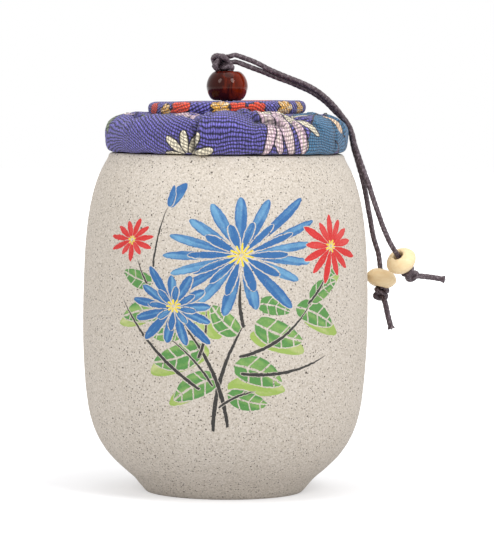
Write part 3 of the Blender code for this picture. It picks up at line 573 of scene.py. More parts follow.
def plain_weave_group():
    """Threads over and under each other, for a place in thread pitches: height, and each thread's own number.

    Each thread is a row of crowns, long along it and rounded across; the material paints shade in the gaps.
    """
    group, add, given = start_group("Plain weave", ("Vector Place",), ("Float Height", "Vector Thread"))
    axes = add("SeparateXYZ", given["Place"], out=None).outputs
    numbers = [add("Math FLOOR", axes[axis]) for axis in "XY"]
    heights = []
    # Each way's own axis, the other one, how late it goes under, and how high its threads still are there
    ways = (("X", "Y", numbers[0], 0.0, 0.30), ("Y", "X", numbers[1], 1.0, 0.56))
    for axis, other, own, late, least in ways:
        turn = add("Math MULTIPLY", axes[axis], math.pi)
        crown = add("Math POWER", add("Math ABSOLUTE", add("Math SINE", turn)), 0.7)
        run = add("Math ADD", add("Math ADD", axes[other], own), late)
        swing = add("Math SINE", add("Math MULTIPLY", run, math.pi))
        over = add("Math MULTIPLY_ADD", swing, 1 - least, least, use_clamp=True)
        heights.append(add("Math MULTIPLY", crown, over))
    top = add("Math MAXIMUM", *heights)
    warp = add("Math GREATER_THAN", *heights)
    thread = add("Mix", warp, numbers[1], numbers[0])
    add("NodeGroupOutput", top, add("CombineXYZ", thread, warp), out=None)
    return group


def printed_cotton(name, colours, sizes, print_motifs):
    """Slubby cotton in plain weave, printed after weaving: rough, with shade painted in the gaps of uneven
    threads.
    """
    material, add, shader = start_material(
        name, Roughness=0.92, IOR=1.45, Sheen_Weight=0.3, Sheen_Roughness=0.5,
        Sheen_Tint=(0.9, 0.88, 1.0, 1.0),
    )
    flat = add("VectorMath MULTIPLY", add("UVMap", uv_map="cloth"), (1 / MM, 1 / MM, 0.0))
    drift = add("TexNoise", flat, Scale=0.055, Detail=1.0, out="Color")
    pull = add("VectorMath SUBTRACT", drift, HALF)
    drifted = add("VectorMath MULTIPLY_ADD", pull, (7.0, 9.0, 0.0), flat)
    round_way = add("SeparateXYZ", flat, out="X")
    drag = 0.0
    for start, end, shift in ((-36.0, -8.0, 13.0), (36.0, 80.0, -13.0)):
        share = add("MapRange", round_way, start, end, **SMOOTH)
        drag = add("Math MULTIPLY_ADD", share, shift, drag)
    skewed = add("VectorMath ADD", drifted, add("CombineXYZ", Y=drag))
    slub = add("TexNoise", flat, Scale=0.55, Detail=2.0, out=None).outputs
    wobble = add("VectorMath SUBTRACT", slub["Color"], HALF)
    uneven = add("VectorMath MULTIPLY_ADD", wobble, (1.1, 0.9, 0.0), skewed)
    pitches = add("VectorMath MULTIPLY", uneven, (MM / sizes.warp_pitch, MM / sizes.weft_pitch, 0.0))
    weave_tree = bpy.data.node_groups.get("Plain weave") or plain_weave_group()
    weave = add("Group", pitches, node_tree=weave_tree, out=None).outputs
    lot = add("TexWhiteNoise", weave["Thread"])
    fibre = add("TexNoise", flat, Scale=3.2, Detail=2.0, Roughness=0.7)
    tone = add("Math MULTIPLY_ADD", slub[0], 1.0, -0.5)
    bright = rgba([value * 1.25 for value in colours.indigo])
    ground = add("Mix", fibre, rgba(colours.indigo), bright, **COLOUR_MIX)
    painting = Painting(add, flat, tone, ground, rgba(colours.outline))
    print_motifs(painting, colours)
    # Painted light and shade of the weave: thread crowns lit far above the ground colour, gaps shaded dark
    shade = add("MapRange", weave["Height"], 0.34, 1.0, 0.15, 2.5)
    yarn = add("Math MULTIPLY_ADD", lot, 0.36, 0.82)
    fuzz = add("Math MULTIPLY_ADD", fibre, 1.1, 0.45)
    level = add("Math MULTIPLY", add("Math MULTIPLY", shade, yarn), fuzz)
    # Painted shade: the cloth is darkened where it lies in fold creases and pleat valleys
    crease_shade = add("Attribute", attribute_name="crease_shade", out="Fac")
    unshaded_share = add("Math MULTIPLY_ADD", crease_shade, -0.9, 1.0, use_clamp=True)
    level = add("Math MULTIPLY", level, unshaded_share)
    # Thick printing paste fills the gaps between the threads, and the painted crease shade darkens it too
    filled = add("Math MULTIPLY", painting.cover, 0.5)
    paste = add("Math MULTIPLY", unshaded_share, 0.9)
    level = add("Mix", filled, level, paste)
    colour = add("VectorMath SCALE", painting.colour, Scale=level)
    finish_surface(shader, colour, height=weave["Height"], relief=0.0004)
    return material


def print_cover_motifs(painting, colours):
    """Print of the lid's cover on indigo: pale finger petals, narrow cream blossoms and teal leaves.

    Places are millimetres on the flat cloth: round the lid from its front, and up from the inner hem.
    """
    cream, teal, sage, peach, rose = (
        (ink, ink) for ink in (colours.cream, colours.teal, colours.sage, colours.peach, colours.rose)
    )
    pink = (colours.pink, colours.cream)
    # Behind the petals: broad teal leaves, with dark gaps between them
    painting.strokes(teal, (0.4, 0.45), (
        ((24.5, 8), (43, 21.5), 12.5, 1), ((52, 9.5), (36, 17.5), 8, -0.8),
        ((41, 21), (57, 12.5), 9, 0.8), ((26, 24.5), (47, 27.5), 6.5, 0.5), ((58, 22), (72, 14), 8, 0.6),
        ((-72, 10), (-60, 22), 9, 0.9),
    ), gap=0.45)
    painting.strokes(sage, (0.45, 0.6), (
        ((-36, 23.5), (-20.5, 26.5), 4.6, 0.7), ((-74, 10.5), (-66, 20.5), 3.6, 0.5),
        ((-23, 24.2), (-32.5, 21.4), 3, -0.4), ((33, 29), (45, 25.5), 3.6, 0.4),
        ((49, 26), (60, 24), 3.4, 0.3), ((-52, 24), (-44, 16), 3.6, 0.5), ((86, 22), (95, 13), 4, 0.5),
        ((-95, 12), (-86, 20), 3.8, 0.5),
    ), gap=0.45)
    # Pale finger petals that hang from the gathers at the right
    for root, tip, width, bend, ink in (
        ((12, 27), (16, 10.5), 3.6, -0.7, pink), ((15, 28), (20, 9.3), 3.6, -0.8, pink),
        ((18, 29), (24.5, 12), 3.4, -0.9, cream), ((13, 19), (10.8, 9.3), 2.4, 0.3, pink),
        ((20.5, 20), (23.8, 9.4), 2.8, 0.2, pink), ((22, 24.5), (28.5, 15.5), 2.6, -0.6, cream),
        ((9.5, 30), (14.5, 22), 4.2, 0.5, cream), ((20, 28.5), (29.5, 22.5), 3, -0.5, cream),
        ((40, 16.5), (42.5, 24), 5, 0.4, peach), ((37, 23), (39.5, 25.5), 1.8, 0.1, rose),
        ((73, 26), (80, 9.5), 3, -0.8, pink), ((77, 27), (85.5, 11), 2.8, -0.8, cream),
        ((-57, 26), (-52, 9.5), 3, -0.7, pink), ((-60, 25), (-57.5, 9), 2.7, -0.4, cream),
    ):
        painting.stroke(root, tip, width, ink, bend, (0.22, 0.5), gap=0.36)
    # Narrow cream blossoms, half hidden by the hem and by the gathers
    for centre, turn, squash, count, outer, width, ink in (
        ((-11.2, 9.8), 96, 0.95, 9, 7.4, 2.4, cream), ((-13, 25.5), 10, 0.7, 9, 6.4, 2.4, pink),
        ((98, 11), 20, 0.9, 9, 6.6, 2.2, cream), ((-50, 24.5), 30, 0.8, 7, 6, 2.4, pink),
        ((-78, 24), 10, 0.9, 9, 6.2, 2.2, cream),
    ):
        painting.petals(centre, turn, squash, count, 1.2, outer, width, ink, (0.6, 0.45), 0.42)


def print_disc_motifs(painting, colours):
    """Print of the top disc: small orange and gold blossoms with dark edges, apart on the indigo ground."""
    orange = (colours.orange, colours.orange)
    gold = (colours.gold, colours.cream)
    for centre, turn, reach, ink in (
        ((-21.5, -9), 10, 3.4, orange), ((-13.6, -18.6), 40, 4.4, orange), ((3.6, -23), 15, 3.4, orange),
        ((9, -21.4), 55, 3.2, orange), ((-18, -15), 0, 2.6, gold), ((-1.6, -22.6), 30, 3.2, gold),
        ((17.2, -15.4), 60, 3.4, gold), ((21.6, -9), 20, 2.8, gold), ((12, -6), 20, 6, orange),
        ((-8, -5), 0, 5, gold), ((-12, 10), 35, 6.5, orange), ((8, 12), 10, 5.5, orange),
        ((19, 12), 25, 3.6, gold), ((-2, 21), 50, 4, orange), ((-21, 8), 5, 3.6, gold),
    ):
        painting.petals(centre, turn, 0.85, 6, 0.2, reach, reach * 0.62, ink, (0.45, 0.35), 0.6)


def waxed_cotton_cord(colours):
    """Cotton yarns twisted together and waxed: dark, with a dull shine and pale wax in the grooves."""
    material, add, shader = start_material("Waxed cotton cord", Roughness=0.55, IOR=1.45)
    yarn = add("UVMap", uv_map="yarn")
    stretched = add("VectorMath MULTIPLY", yarn, (1 / 0.00012, 1 / 0.0016, 0.0))
    streak = add("TexNoise", stretched, Scale=1.0, Detail=2.0, Roughness=0.6)
    place = add("TexCoord", out="Object")
    patch = add("TexNoise", place, Scale=1 / 0.0007, Detail=2.0)
    bloom = add("Math MULTIPLY", streak, patch)
    wax = add("MapRange", bloom, 0.24, 0.36, To_Max=0.8)
    colour = add("Mix", wax, rgba(colours.cord), rgba(colours.cord_wax), **COLOUR_MIX)
    roughness = add("MapRange", wax, To_Max=0.75, To_Min=0.48)
    finish_surface(shader, colour, roughness, streak, 0.00008)
    return material


def lacquered_wood(colours):
    """Dense red wood, turned, stained and lacquered: dark grain under a clear, wet shine, and a painted red
    glow.
    """
    material, add, shader = start_material(
        "Lacquered red wood", Roughness=0.14, IOR=1.5, Specular_IOR_Level=0.2,
        Specular_Tint=(1.0, 0.8, 0.74, 1.0),
    )
    place = add("TexCoord", out="Object")
    drawn = add("VectorMath MULTIPLY", place, (1 / 0.0014, 1 / 0.0014, 1 / 0.0045))
    grain = add("TexNoise", drawn, Scale=1.0, Detail=4.0, Distortion=0.8)
    # Painted glow: the knob's +X side turns from dark lacquer to glowing red
    side = add("SeparateXYZ", place, out="X")
    lean = add("Math MULTIPLY_ADD", side, 55.0, grain)
    glow = add("MapRange", lean, 0.42, 0.95)
    colour = add("Mix", glow, rgba(colours.lacquer), rgba(colours.lacquer_painted_glow), **COLOUR_MIX)
    roughness = add("MapRange", grain, To_Max=0.13, To_Min=0.05)
    finish_surface(shader, colour, roughness, grain, 0.00003)
    return material


def turned_pale_wood(colours):
    """Pale fine-grained wood, turned and tumbled smooth: satin, with faint growth rings across the bead."""
    material, add, shader = start_material("Turned pale wood", Roughness=0.42, IOR=1.48)
    place = add("TexCoord", out="Object")
    drawn = add("VectorMath MULTIPLY", place, (1 / 0.006, 1 / 0.0006, 1 / 0.0009))
    rings = add("TexNoise", drawn, Scale=1.0, Detail=2.0, Distortion=0.3)
    share = add("MapRange", rings, 0.42, 0.72, To_Max=0.65)
    colour = add("Mix", share, rgba(colours.pale_wood), rgba(colours.pale_grain), **COLOUR_MIX)
    roughness = add("MapRange", rings, To_Max=0.52, To_Min=0.36)
    finish_surface(shader, colour, roughness, rings, 0.00004)
    return material


def granulated_cork():
    """Cork granules pressed with a binder: matt, in warm browns, with dark pores between the granules."""
    material, add, shader = start_material("Granulated cork", Roughness=0.9, IOR=1.4)
    place = add("TexCoord", out="Object")
    cells = add("TexVoronoi", place, Scale=1 / 0.0018, out=None)
    edges = add("TexVoronoi", place, Scale=1 / 0.0018, feature="DISTANCE_TO_EDGE")
    tone = add("SeparateColor", cells.outputs["Color"])
    granule = add("Mix", tone, rgba(linear("#c39a6b")), rgba(linear("#94683d")), **COLOUR_MIX)
    gap = add("MapRange", edges, To_Max=0.0, To_Min=0.75, From_Max=0.07)
    colour = add("Mix", gap, granule, rgba(linear("#4a3120")), **COLOUR_MIX)
    finish_surface(shader, colour, None, edges, 0.0002)
    return material


def fibre_material(name, pale, dark, spacing, relief):
    """Loose or pressed fibre, such as board, card or wadding: matt, mottled at the size of its fibres."""
    material, add, shader = start_material(name, Roughness=0.92, IOR=1.4)
    place = add("TexCoord", out="Object")
    felt = add("TexNoise", place, Scale=1 / spacing, Detail=4.0, Roughness=0.7, Distortion=1.2)
    colour = add("Mix", felt, rgba(linear(pale)), rgba(linear(dark)), **COLOUR_MIX)
    finish_surface(shader, colour, None, felt, relief)
    return material


def add_object(name, data):
    """An object of this data, in the scene."""
    thing = bpy.data.objects.new(name, data)
    bpy.context.scene.collection.objects.link(thing)
    return thing


def add_mesh(name, points, faces):
    mesh = bpy.data.meshes.new(name)
    mesh.from_pydata(points, [], faces)
    return add_object(name, mesh)


def ramp(value, start, length):
    """Rises from 0 to 1 while the value passes over the length from the start."""
    return min(max((value - start) / length, 0.0), 1.0)


def run_along(points):
    """Distance of each point from the first one, along the path."""
    return np.concatenate([[0], np.cumsum(np.linalg.norm(np.diff(points, axis=0), axis=1))])


def ring_turns(sides):
    return [math.tau * side / sides for side in range(sides)]


def smooth_route(route, step):
    """Evenly spaced points along a Catmull-Rom curve through the route."""
    knots = [np.array(point, float) for point in route]
    knots = [2 * knots[0] - knots[1], *knots, 2 * knots[-1] - knots[-2]]
    fine = []
    for before, start, end, after in zip(knots, knots[1:], knots[2:], knots[3:]):
        for t in np.linspace(0, 1, 12, endpoint=False):
            slope = (end - before) * t + (2 * before - 5 * start + 4 * end - after) * t**2
            fine.append(start + (slope + (3 * start - before - 3 * end + after) * t**3) / 2)
    fine = np.array([*fine, knots[-2]])
    along = run_along(fine)
    places = np.linspace(0, along[-1], max(2, round(along[-1] / step) + 1))
    return np.stack([np.interp(places, along, fine[:, axis]) for axis in range(3)], axis=1)


def smooth_profile(profile, step):
    """Evenly spaced (radius, height) points along a smooth curve through the profile."""
    return smooth_route([(radius, 0.0, height) for radius, height in profile], step)[:, [0, 2]]


def skin(name, rings, material, closed_ends=False, loop=False):
    """A smooth mesh object over rings of points. Loop joins the last ring to the first."""
    rings = np.asarray(rings, float)
    count, sides, _ = rings.shape
    points = rings.reshape(-1, 3).tolist()
    faces = []
    for i in range(count if loop else count - 1):
        here, there = i * sides, (i + 1) % count * sides
        for j in range(sides):
            after = (j + 1) % sides
            faces.append((here + j, here + after, there + after, there + j))
    if closed_ends:
        for ring, turn in ((0, -1), (count - 1, 1)):
            points.append(rings[ring].mean(axis=0).tolist())
            for j in range(sides):
                faces.append((ring * sides + j, ring * sides + (j + 1) % sides, len(points) - 1)[::turn])
    piece = add_mesh(name, points, faces)
    piece.data.shade_smooth()
    piece.data.materials.append(material)
    return piece


def lay_flat(piece, layer, place_of):
    """UV layer in metres: place_of(face's index, point's index) gives a corner's place on the flat piece."""
    mesh = piece.data
    uv = mesh.uv_layers.new(name=layer)
    for face in mesh.polygons:
        for corner in face.loop_indices:
            uv.data[corner].uv = place_of(face.index, mesh.loops[corner].vertex_index)


def seat(piece, body, slot, *nodes):
    """The piece stands for these CAD nodes and moves with their body."""
    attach(piece, body)
    if nodes:
        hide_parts(*nodes)
    return piece


def turned_outline(node, middle=ORIGIN, axis=UP):
    """(radius, height) points of a turned CAD node, in order along its outline, read off its own edges."""
    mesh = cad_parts[node].data
    turn = axis.rotation_difference(UP).to_matrix()
    spots, turns = [], []
    for vertex in mesh.vertices:
        place = turn @ (vertex.co - middle)
        radius = math.hypot(place.x, place.y)
        spots.append((round(radius, 5), round(place.z, 5)))
        turns.append(math.atan2(place.y, place.x) if radius > MM / 100 else None)
    near = {}
    for edge in mesh.edges:
        a, b = edge.vertices
        level = turns[a] is None or turns[b] is None
        if spots[a] != spots[b] and (level or abs(turns[a] - turns[b]) < 0.002):
            near.setdefault(spots[a], set()).add(spots[b])
            near.setdefault(spots[b], set()).add(spots[a])
    ends = sorted((spot for spot in near if len(near[spot]) == 1), key=lambda spot: -spot[1])
    start = ends[0] if ends else min(near)
    outline, last = [start], None
    while True:
        onward = [spot for spot in sorted(near[outline[-1]]) if spot != last]
        last = outline[-1]
        if not onward or onward[0] == start:
            return outline, not ends
        outline.append(onward[0])


def rounded_outline(outline, closed, step, corner=38.0):
    """The outline with its curved stretches drawn smooth, and corners sharper than this many degrees kept."""
    points = [Vector(point) for point in outline]
    count = len(points)
    spans = count if closed else count - 1
    fine = []
    for i in range(spans):
        start, end = points[i], points[(i + 1) % count]
        before = points[i - 1] if closed or i else 2 * start - end
        after = points[(i + 2) % count] if closed or i + 2 < count else 2 * end - start
        chord = end - start
        if (start - before).length and (start - before).angle(chord) > math.radians(corner):
            before = 2 * start - end
        if (after - end).length and (after - end).angle(chord) > math.radians(corner):
            after = 2 * end - start
        run = (before, start, end, after)
        gaps = [max((b - a).length, MM / 1000) ** 0.5 for a, b in zip(run, run[1:])]
        leave = (start - before) / gaps[0] - (end - before) / (gaps[0] + gaps[1]) + chord / gaps[1]
        reach = chord / gaps[1] - (after - start) / (gaps[1] + gaps[2]) + (after - end) / gaps[2]
        leave, reach = leave * gaps[1], reach * gaps[1]
        steps = max(1, min(14, round(chord.length / step)))
        for k in range(steps):
            t = k / steps
            point = start * (2 * t**3 - 3 * t**2 + 1) + leave * (t**3 - 2 * t**2 + t)
            fine.append(point + end * (3 * t**2 - 2 * t**3) + reach * (t**3 - t**2))
    return fine if closed else [*fine, points[-1]]


def revolve(name, outline, closed, sides, material, middle=ORIGIN, axis=UP, unevenness=None):
    """A turned piece. Unevenness(turn, radius, height) says how far the maker's hand moved a point out."""
    place = Matrix.Translation(middle) @ UP.rotation_difference(axis).to_matrix().to_4x4()
    rings = []
    for radius, height in outline:
        ring = []
        for turn in ring_turns(sides):
            out = max(radius + (unevenness(turn, radius, height) if unevenness else 0.0), MM / 1000)
            ring.append(place @ Vector((out * math.cos(turn), out * math.sin(turn), height)))
        rings.append(ring)
    piece = skin(name, rings, material, loop=closed, closed_ends=not closed)
    face_outward(piece)
    return piece


def add_turned(name, node, body, slot, step, sides, material, unevenness=None):
    """A finer turned piece that stands for a turned CAD node, seated on its body."""
    outline, closed = turned_outline(node)
    fine = rounded_outline(outline, closed, step)
    return seat(revolve(name, fine, closed, sides, material, unevenness=unevenness), body, slot, node)


def face_outward(piece):
    """Turns all faces the right way out, by the sign of the volume that they enclose."""
    mesh = piece.data
    if sum(face.center.dot(face.normal) * face.area for face in mesh.polygons) < 0:
        mesh.flip_normals()


def frames_along(points):
    """Two ways across a path at each of its points, turned as little as the path allows."""
    ways = np.gradient(points, axis=0)
    ways /= np.linalg.norm(ways, axis=1)[:, None]
    side = np.cross(ways[0], (0.3, 0.9, 0.2))
    sides = []
    for way in ways:
        side = side - way * side.dot(way)
        side /= np.linalg.norm(side)
        sides.append(side.copy())
    sides = np.array(sides)
    return sides, np.cross(ways, sides)


def plied_cord(name, points, material, widths=None):
    """A cord of twisted yarns along the points. Widths are shares of its full width."""
    points = np.asarray(points, float)
    along = run_along(points)
    sides, others = frames_along(points)
    turns = np.arange(CORD_SIDES) * math.tau / CORD_SIDES
    twists = math.tau * along / CORD_LAY
    rings = []
    for i, point in enumerate(points):
        crest = np.abs(np.cos(CORD_PLIES / 2 * (turns - twists[i])))
        radius = CORD / 2 * (1 + CORD_GROOVE_SHARE * (crest - 0.75))
        if widths is not None:
            radius = radius * widths[i]
        out = np.cos(turns)[:, None] * sides[i] + np.sin(turns)[:, None] * others[i]
        rings.append(point + radius[:, None] * out)
    piece = skin(name, rings, material, closed_ends=True)

    def yarn_place(face, corner):
        ring, side = divmod(corner, CORD_SIDES)
        if ring >= len(points):
            return (0.0, 0.0)
        turn = turns[side] + (math.tau if side < face % CORD_SIDES else 0.0)
        return ((turn - twists[ring]) * CORD / 2, along[ring])

    lay_flat(piece, "yarn", yarn_place)
    face_outward(piece)
    return piece


def overhand_core(middle, down, side, unit, squeeze=1.0, lobe=2.2, depth=2.1, opening=0.45, steps=96):
    """Centre line of an overhand knot: a trefoil opened at one lobe, entered against down."""
    down = down.normalized()
    side = (side - down * side.dot(down)).normalized()
    through = down.cross(side)
    core = []
    for step in range(steps + 1):
        turn = math.pi + opening + (math.tau - 2 * opening) * step / steps
        length = squeeze * (math.sin(turn) + lobe * math.sin(2 * turn))
        width = math.cos(turn) - lobe * math.cos(2 * turn) + 0.65 * (1 + lobe)
        deep = depth * math.sin(3 * turn)
        core.append(middle + (down * length + side * width + through * deep) * unit)
    return core


def knot_widths(points, middle, reach, drawn_share, flare_share=1.0, flare_length=0.0012):
    """Width shares: drawn thinner in the knot, full outside it, and flared at a cut end."""
    points = np.asarray(points)
    outside = (np.linalg.norm(points - np.array(middle), axis=1) - reach) / CORD
    widths = drawn_share + (1 - drawn_share) * np.clip(outside, 0, 1)
    to_end = np.linalg.norm(points - points[-1], axis=1)
    return widths * (1 + (flare_share - 1) * np.clip(1 - to_end / flare_length, 0, 1) ** 2)


def frayed_fibres(name, end, way, material, count=16, length=0.0007, thickness=0.00011):
    """Short cut fibres that stand out of a cord's end in a tuft."""
    chance = np.random.default_rng(len(name) * 7 + count)
    way = np.array(Vector(way).normalized())
    side = np.cross(way, (0.2, 0.9, 0.4))
    side /= np.linalg.norm(side)
    other = np.cross(way, side)
    points, faces = [], []
    for _ in range(count):
        turn, out = chance.uniform(0, math.tau), chance.uniform(0.15, 1.0) * CORD / 2
        radial = math.cos(turn) * side + math.sin(turn) * other
        root = np.array(end) + radial * out - way * length
        tip = np.array(end) + radial * out * chance.uniform(1.1, 1.5)
        tip = tip + way * length * chance.uniform(0.1, 1.0)
        base = len(points)
        for corner in range(3):
            angle = math.tau * corner / 3
            points.append(root + thickness * (math.cos(angle) * side + math.sin(angle) * other))
        points.append(tip)
        faces += [(base, base + 1, base + 3), (base + 1, base + 2, base + 3), (base + 2, base, base + 3)]
    piece = add_mesh(name, [tuple(point) for point in points], faces)
    piece.data.materials.append(material)
    piece.data.uv_layers.new(name="yarn")
    return piece


def pot_radius():
    low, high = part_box("jar_body")
    return (high[0] - low[0]) / 2


def settings(context):
    return context.scene.tea_jar_colours, context.scene.tea_jar_sizes


class TEAJAR_OT_stage(bpy.types.Operator):
    """Camera of the photograph, a white sweep that keeps the jar's shadow, and two front softboxes"""

    bl_idname = "teajar.stage"
    bl_label = "Stage and camera"

    def execute(self, context):
        self.add_camera(context)
        self.add_world(context)
        self.add_floor()
        self.add_lamps(context)
        return {"FINISHED"}

    def add_camera(self, context):
        data = bpy.data.cameras.new("Camera")
        data.lens = data.sensor_width * FOCAL_PIXELS / PICTURE_HEIGHT
        camera = add_object("Camera", data)
        back = math.sqrt(CAMERA_DISTANCE**2 - (CAMERA_HEIGHT - AIM_HEIGHT) ** 2)
        camera.location = (AIM_SIDE, -back, CAMERA_HEIGHT)
        look = Vector((AIM_SIDE, 0.0, AIM_HEIGHT)) - camera.location
        upright = look.to_track_quat("-Z", "Y").to_matrix().to_4x4()
        rolled = upright @ Matrix.Rotation(CAMERA_ROLL, 4, "Z")
        camera.rotation_euler = rolled.to_euler()
        context.scene.camera = camera

    def add_world(self, context):
        world = bpy.data.worlds.new("White studio")
        context.scene.world = world
        world.use_nodes = True
        world.node_tree.nodes.clear()
        add = partial(add_node, world.node_tree)
        strength = add("MapRange", seen_directly(add), To_Min=LIGHT_ON_JAR, To_Max=1.0)
        sky = add("Background", WHITE, strength)
        add("OutputWorld", sky, out=None)
        context.scene.view_settings.view_transform = "Standard"

    def add_floor(self):
        half = FLOOR_SIDE / 2
        corners = [(-half, -half, 0), (half, -half, 0), (half, half, 0), (-half, half, 0)]
        floor = add_mesh("Floor", corners, [(0, 1, 2, 3)])
        material = bpy.data.materials.new("White paper sweep")
        material.use_nodes = True
        material.node_tree.nodes.clear()
        add = partial(add_node, material.node_tree)
        paper = add("BsdfDiffuse", rgba(linear("#d8d8da")))
        away = add("VectorMath LENGTH", add("TexCoord", out="Object"))
        lift = add("MapRange", away, *PAPER_LIFT_SPAN, *PAPER_LIFT)
        glow = add("Emission", WHITE, add("Math MULTIPLY", seen_directly(add), lift))
        add("OutputMaterial", add("AddShader", paper, glow), out=None)
        floor.data.materials.append(material)

    def add_lamps(self, context):
        for name, place, size, power in SOFTBOXES:
            data = bpy.data.lights.new(name, "AREA")
            data.shape = "ELLIPSE"
            data.size, data.size_y = size
            data.energy = power
            lamp = add_object(name, data)
            lamp.location = place
            aim = LAMP_AIM - lamp.location
            lamp.rotation_euler = aim.to_track_quat("-Z", "Y").to_euler()


def seen_directly(add):
    """1 for what the camera sees, also in gloss or through glass, and 0 for light that falls on the jar."""
    ray = add("LightPath", out=None).outputs
    seen = add("Math MAXIMUM", ray["Is Camera Ray"], ray["Is Glossy Ray"])
    return add("Math MAXIMUM", seen, ray["Is Transmission Ray"])


class TEAJAR_OT_cord(bpy.types.Operator):
    """The waxed cord: knots, runs through the lid, and two free ends with their beads, end knots and tails"""

    bl_idname = "teajar.cord"
    bl_label = "Cord and knots"

    def execute(self, context):
        colours, _ = settings(context)
        self.material = waxed_cotton_cord(colours)
        self.add_held_cord()
        self.add_top_knot()
        wood = turned_pale_wood(colours)
        for letter, strand in STRANDS.items():
            knot = self.add_end_knot(letter, strand)
            bead = self.add_bead("bead_" + letter, strand, wood)
            self.add_strand(letter, strand, [*knot, bead])
        return {"FINISHED"}

    def add_bead(self, body, strand, wood):
        """A pale bead as it hangs on its strand."""
        node = "small_" + body
        outline, closed = turned_outline(node, strand["bead"], strand["axis"])
        hung = (strand["axis"] + strand["lean"]).normalized()
        fine = rounded_outline(outline, closed, 0.0003)
        bead = revolve("turned_" + body, fine, closed, 96, wood, strand["bead"], hung)
        return seat(bead, body, "bead_wood", node)

    def add_held_cord(self):
        """The doubled run up through the lid, and the knot under the board that holds it."""
        low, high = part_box("cord_riser")
        half = CORD_SPACING / 2
        bottom = low[2] + CORD / 2 + half
        route = [(-half, 0, high[2]), (-half, 0, bottom)]
        route += [(-math.cos(t) * half, 0, bottom - math.sin(t) * half) for t in (0.8, 1.57, 2.34)]
        route += [(half, 0, bottom), (half, 0, high[2])]
        riser = plied_cord("held_cord", smooth_route(route, CORD_RING_STEP), self.material)
        seat(riser, "lid", "cord", "cord_riser")
        low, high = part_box("anchor_knot")
        middle = Vector(((low[0] + high[0]) / 2 + LID_KNOT_SIDE, 0.0, (low[2] + high[2]) / 2))
        core = overhand_core(middle, DOWN, LEFT, **LID_KNOT)
        points = smooth_route([(middle.x, 0, high[2]), *core, (middle.x, 0, low[2])], CORD_RING_STEP)
        widths = knot_widths(points, middle, LID_KNOT_REACH, LID_KNOT_DRAWN)
        seat(plied_cord("lid_knot", points, self.material, widths), "lid", "cord", "anchor_knot")

    def add_top_knot(self):
        """Both cords tied together in one overhand knot, which rests on the knob bead."""
        foot_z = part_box("cord_riser")[1][2]
        side, up = TOP_KNOT_MIDDLE
        middle = Vector((side, 0.0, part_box("knob_bead")[1][2] + up))
        core = np.array(overhand_core(middle, UP, LEFT, **TOP_KNOT)[::-1])
        sides, others = frames_along(core)
        beside = (sides * 0.6 + others * 0.8) * CORD * TOP_KNOT_OFF_LINE
        last_share = np.clip(np.linspace(-2.0, 1.0, len(core)), 0, 1)[:, None]
        for number, (sign, strand) in enumerate(zip((-1, 1), STRANDS.values()), 1):
            offset = sign * (beside * (1 - last_share) + TOP_KNOT_PARTING * last_share)
            start = (-sign * CORD_SPACING / 2, 0.0, foot_z - TOP_KNOT_BELOW)
            exit_point, next_point = (Vector(point) for point in strand["route"][:2])
            ahead = exit_point + (next_point - exit_point).normalized() * TOP_KNOT_AHEAD
            arch = [exit_point + Vector(step) for step in strand["arch"]]
            points = smooth_route([start, *(core + offset)[:-8:8], *arch, exit_point, ahead], CORD_RING_STEP)
            widths = knot_widths(points, middle, TOP_KNOT_REACH, TOP_KNOT_DRAWN)
            cord = plied_cord(f"top_knot_{number}", points, self.material, widths)
            seat(cord, "cord", "cord", *(["top_knot"] if number == 1 else []))

    def add_end_knot(self, letter, strand):
        """An overhand knot that stops the bead, and its tail with a flared, frayed end."""
        way = strand["way"]
        middle = strand["bead"] + way * (BEAD_HEIGHT / 2 + END_KNOT_HALF) + strand["knot_shift"]
        core = overhand_core(middle, way, strand["knot_side"], **END_KNOT)[::-1]
        entry = middle - way * END_KNOT_LEAD
        points = smooth_route([entry, *core[:-12:6], *strand["tail"]], CORD_RING_STEP)
        widths = TAIL_WIDTH * knot_widths(points, middle, END_KNOT_REACH, END_KNOT_DRAWN, TAIL_FLARE)
        name = "end_knot_" + letter
        knot = seat(plied_cord("tied_" + name, points, self.material, widths), "cord", "cord", name)
        tuft = frayed_fibres("tuft_" + letter, points[-1], points[-1] - points[-4], self.material)
        return [knot, seat(tuft, "cord", "cord")]

    def add_strand(self, letter, strand, with_pieces):
        """A free end of the cord, along its real length from the top knot to the end knot."""
        end = strand["bead"] + strand["way"] * (BEAD_HEIGHT / 2 + STRAND_PAST_BEAD)
        above = strand["bead"] - strand["way"] * (BEAD_HEIGHT / 2 + BEAD_TRAVEL)
        points = smooth_route([*strand["route"], above, strand["bead"], end], CORD_RING_STEP)
        inside = np.minimum(points[:, 0] - STRANDS_CLOSE_FROM, STRANDS_CLOSE_TO - points[:, 0])
        beside = np.clip(inside / STRANDS_CLOSE_FADE, 0, 1)
        points[:, 2] += beside * (STRANDS_CLOSE if letter == "a" else -STRANDS_CLOSE)
        cord = plied_cord("cord_strand_" + letter, points, self.material)
        seat(cord, "cord", "cord", "strand_" + letter)


class TEAJAR_OT_pot(bpy.types.Operator):
    """The thrown stoneware pot, a little uneven from the wheel, with its painted front"""

    bl_idname = "teajar.pot"
    bl_label = "Pot"

    def execute(self, context):
        colours, sizes = settings(context)

        def from_the_wheel(turn, radius, height):
            if radius < MARKED_RADIUS or height < MARKED_HEIGHT:
                return 0.0
            spiral = math.sin(height / WHEEL_PITCH * math.tau + turn) * WHEEL_MARK
            around = Vector((math.cos(turn), math.sin(turn), height / 0.03))
            return spiral + noise.noise(around * 0.8) * POT_SWELL

        pot = add_turned(
            "thrown_pot", "jar_body", "jar", "stoneware", 0.0012, sizes.pot_sides,
            speckled_stoneware(colours, sizes, True), from_the_wheel,
        )
        pot.data.materials.append(speckled_stoneware(colours, sizes, False))
        for face in pot.data.polygons:
            out = face.normal.x * face.center.x + face.normal.y * face.center.y
            face.material_index = 0 if out > 0 and face.center.z > 0.001 else 1
        return {"FINISHED"}


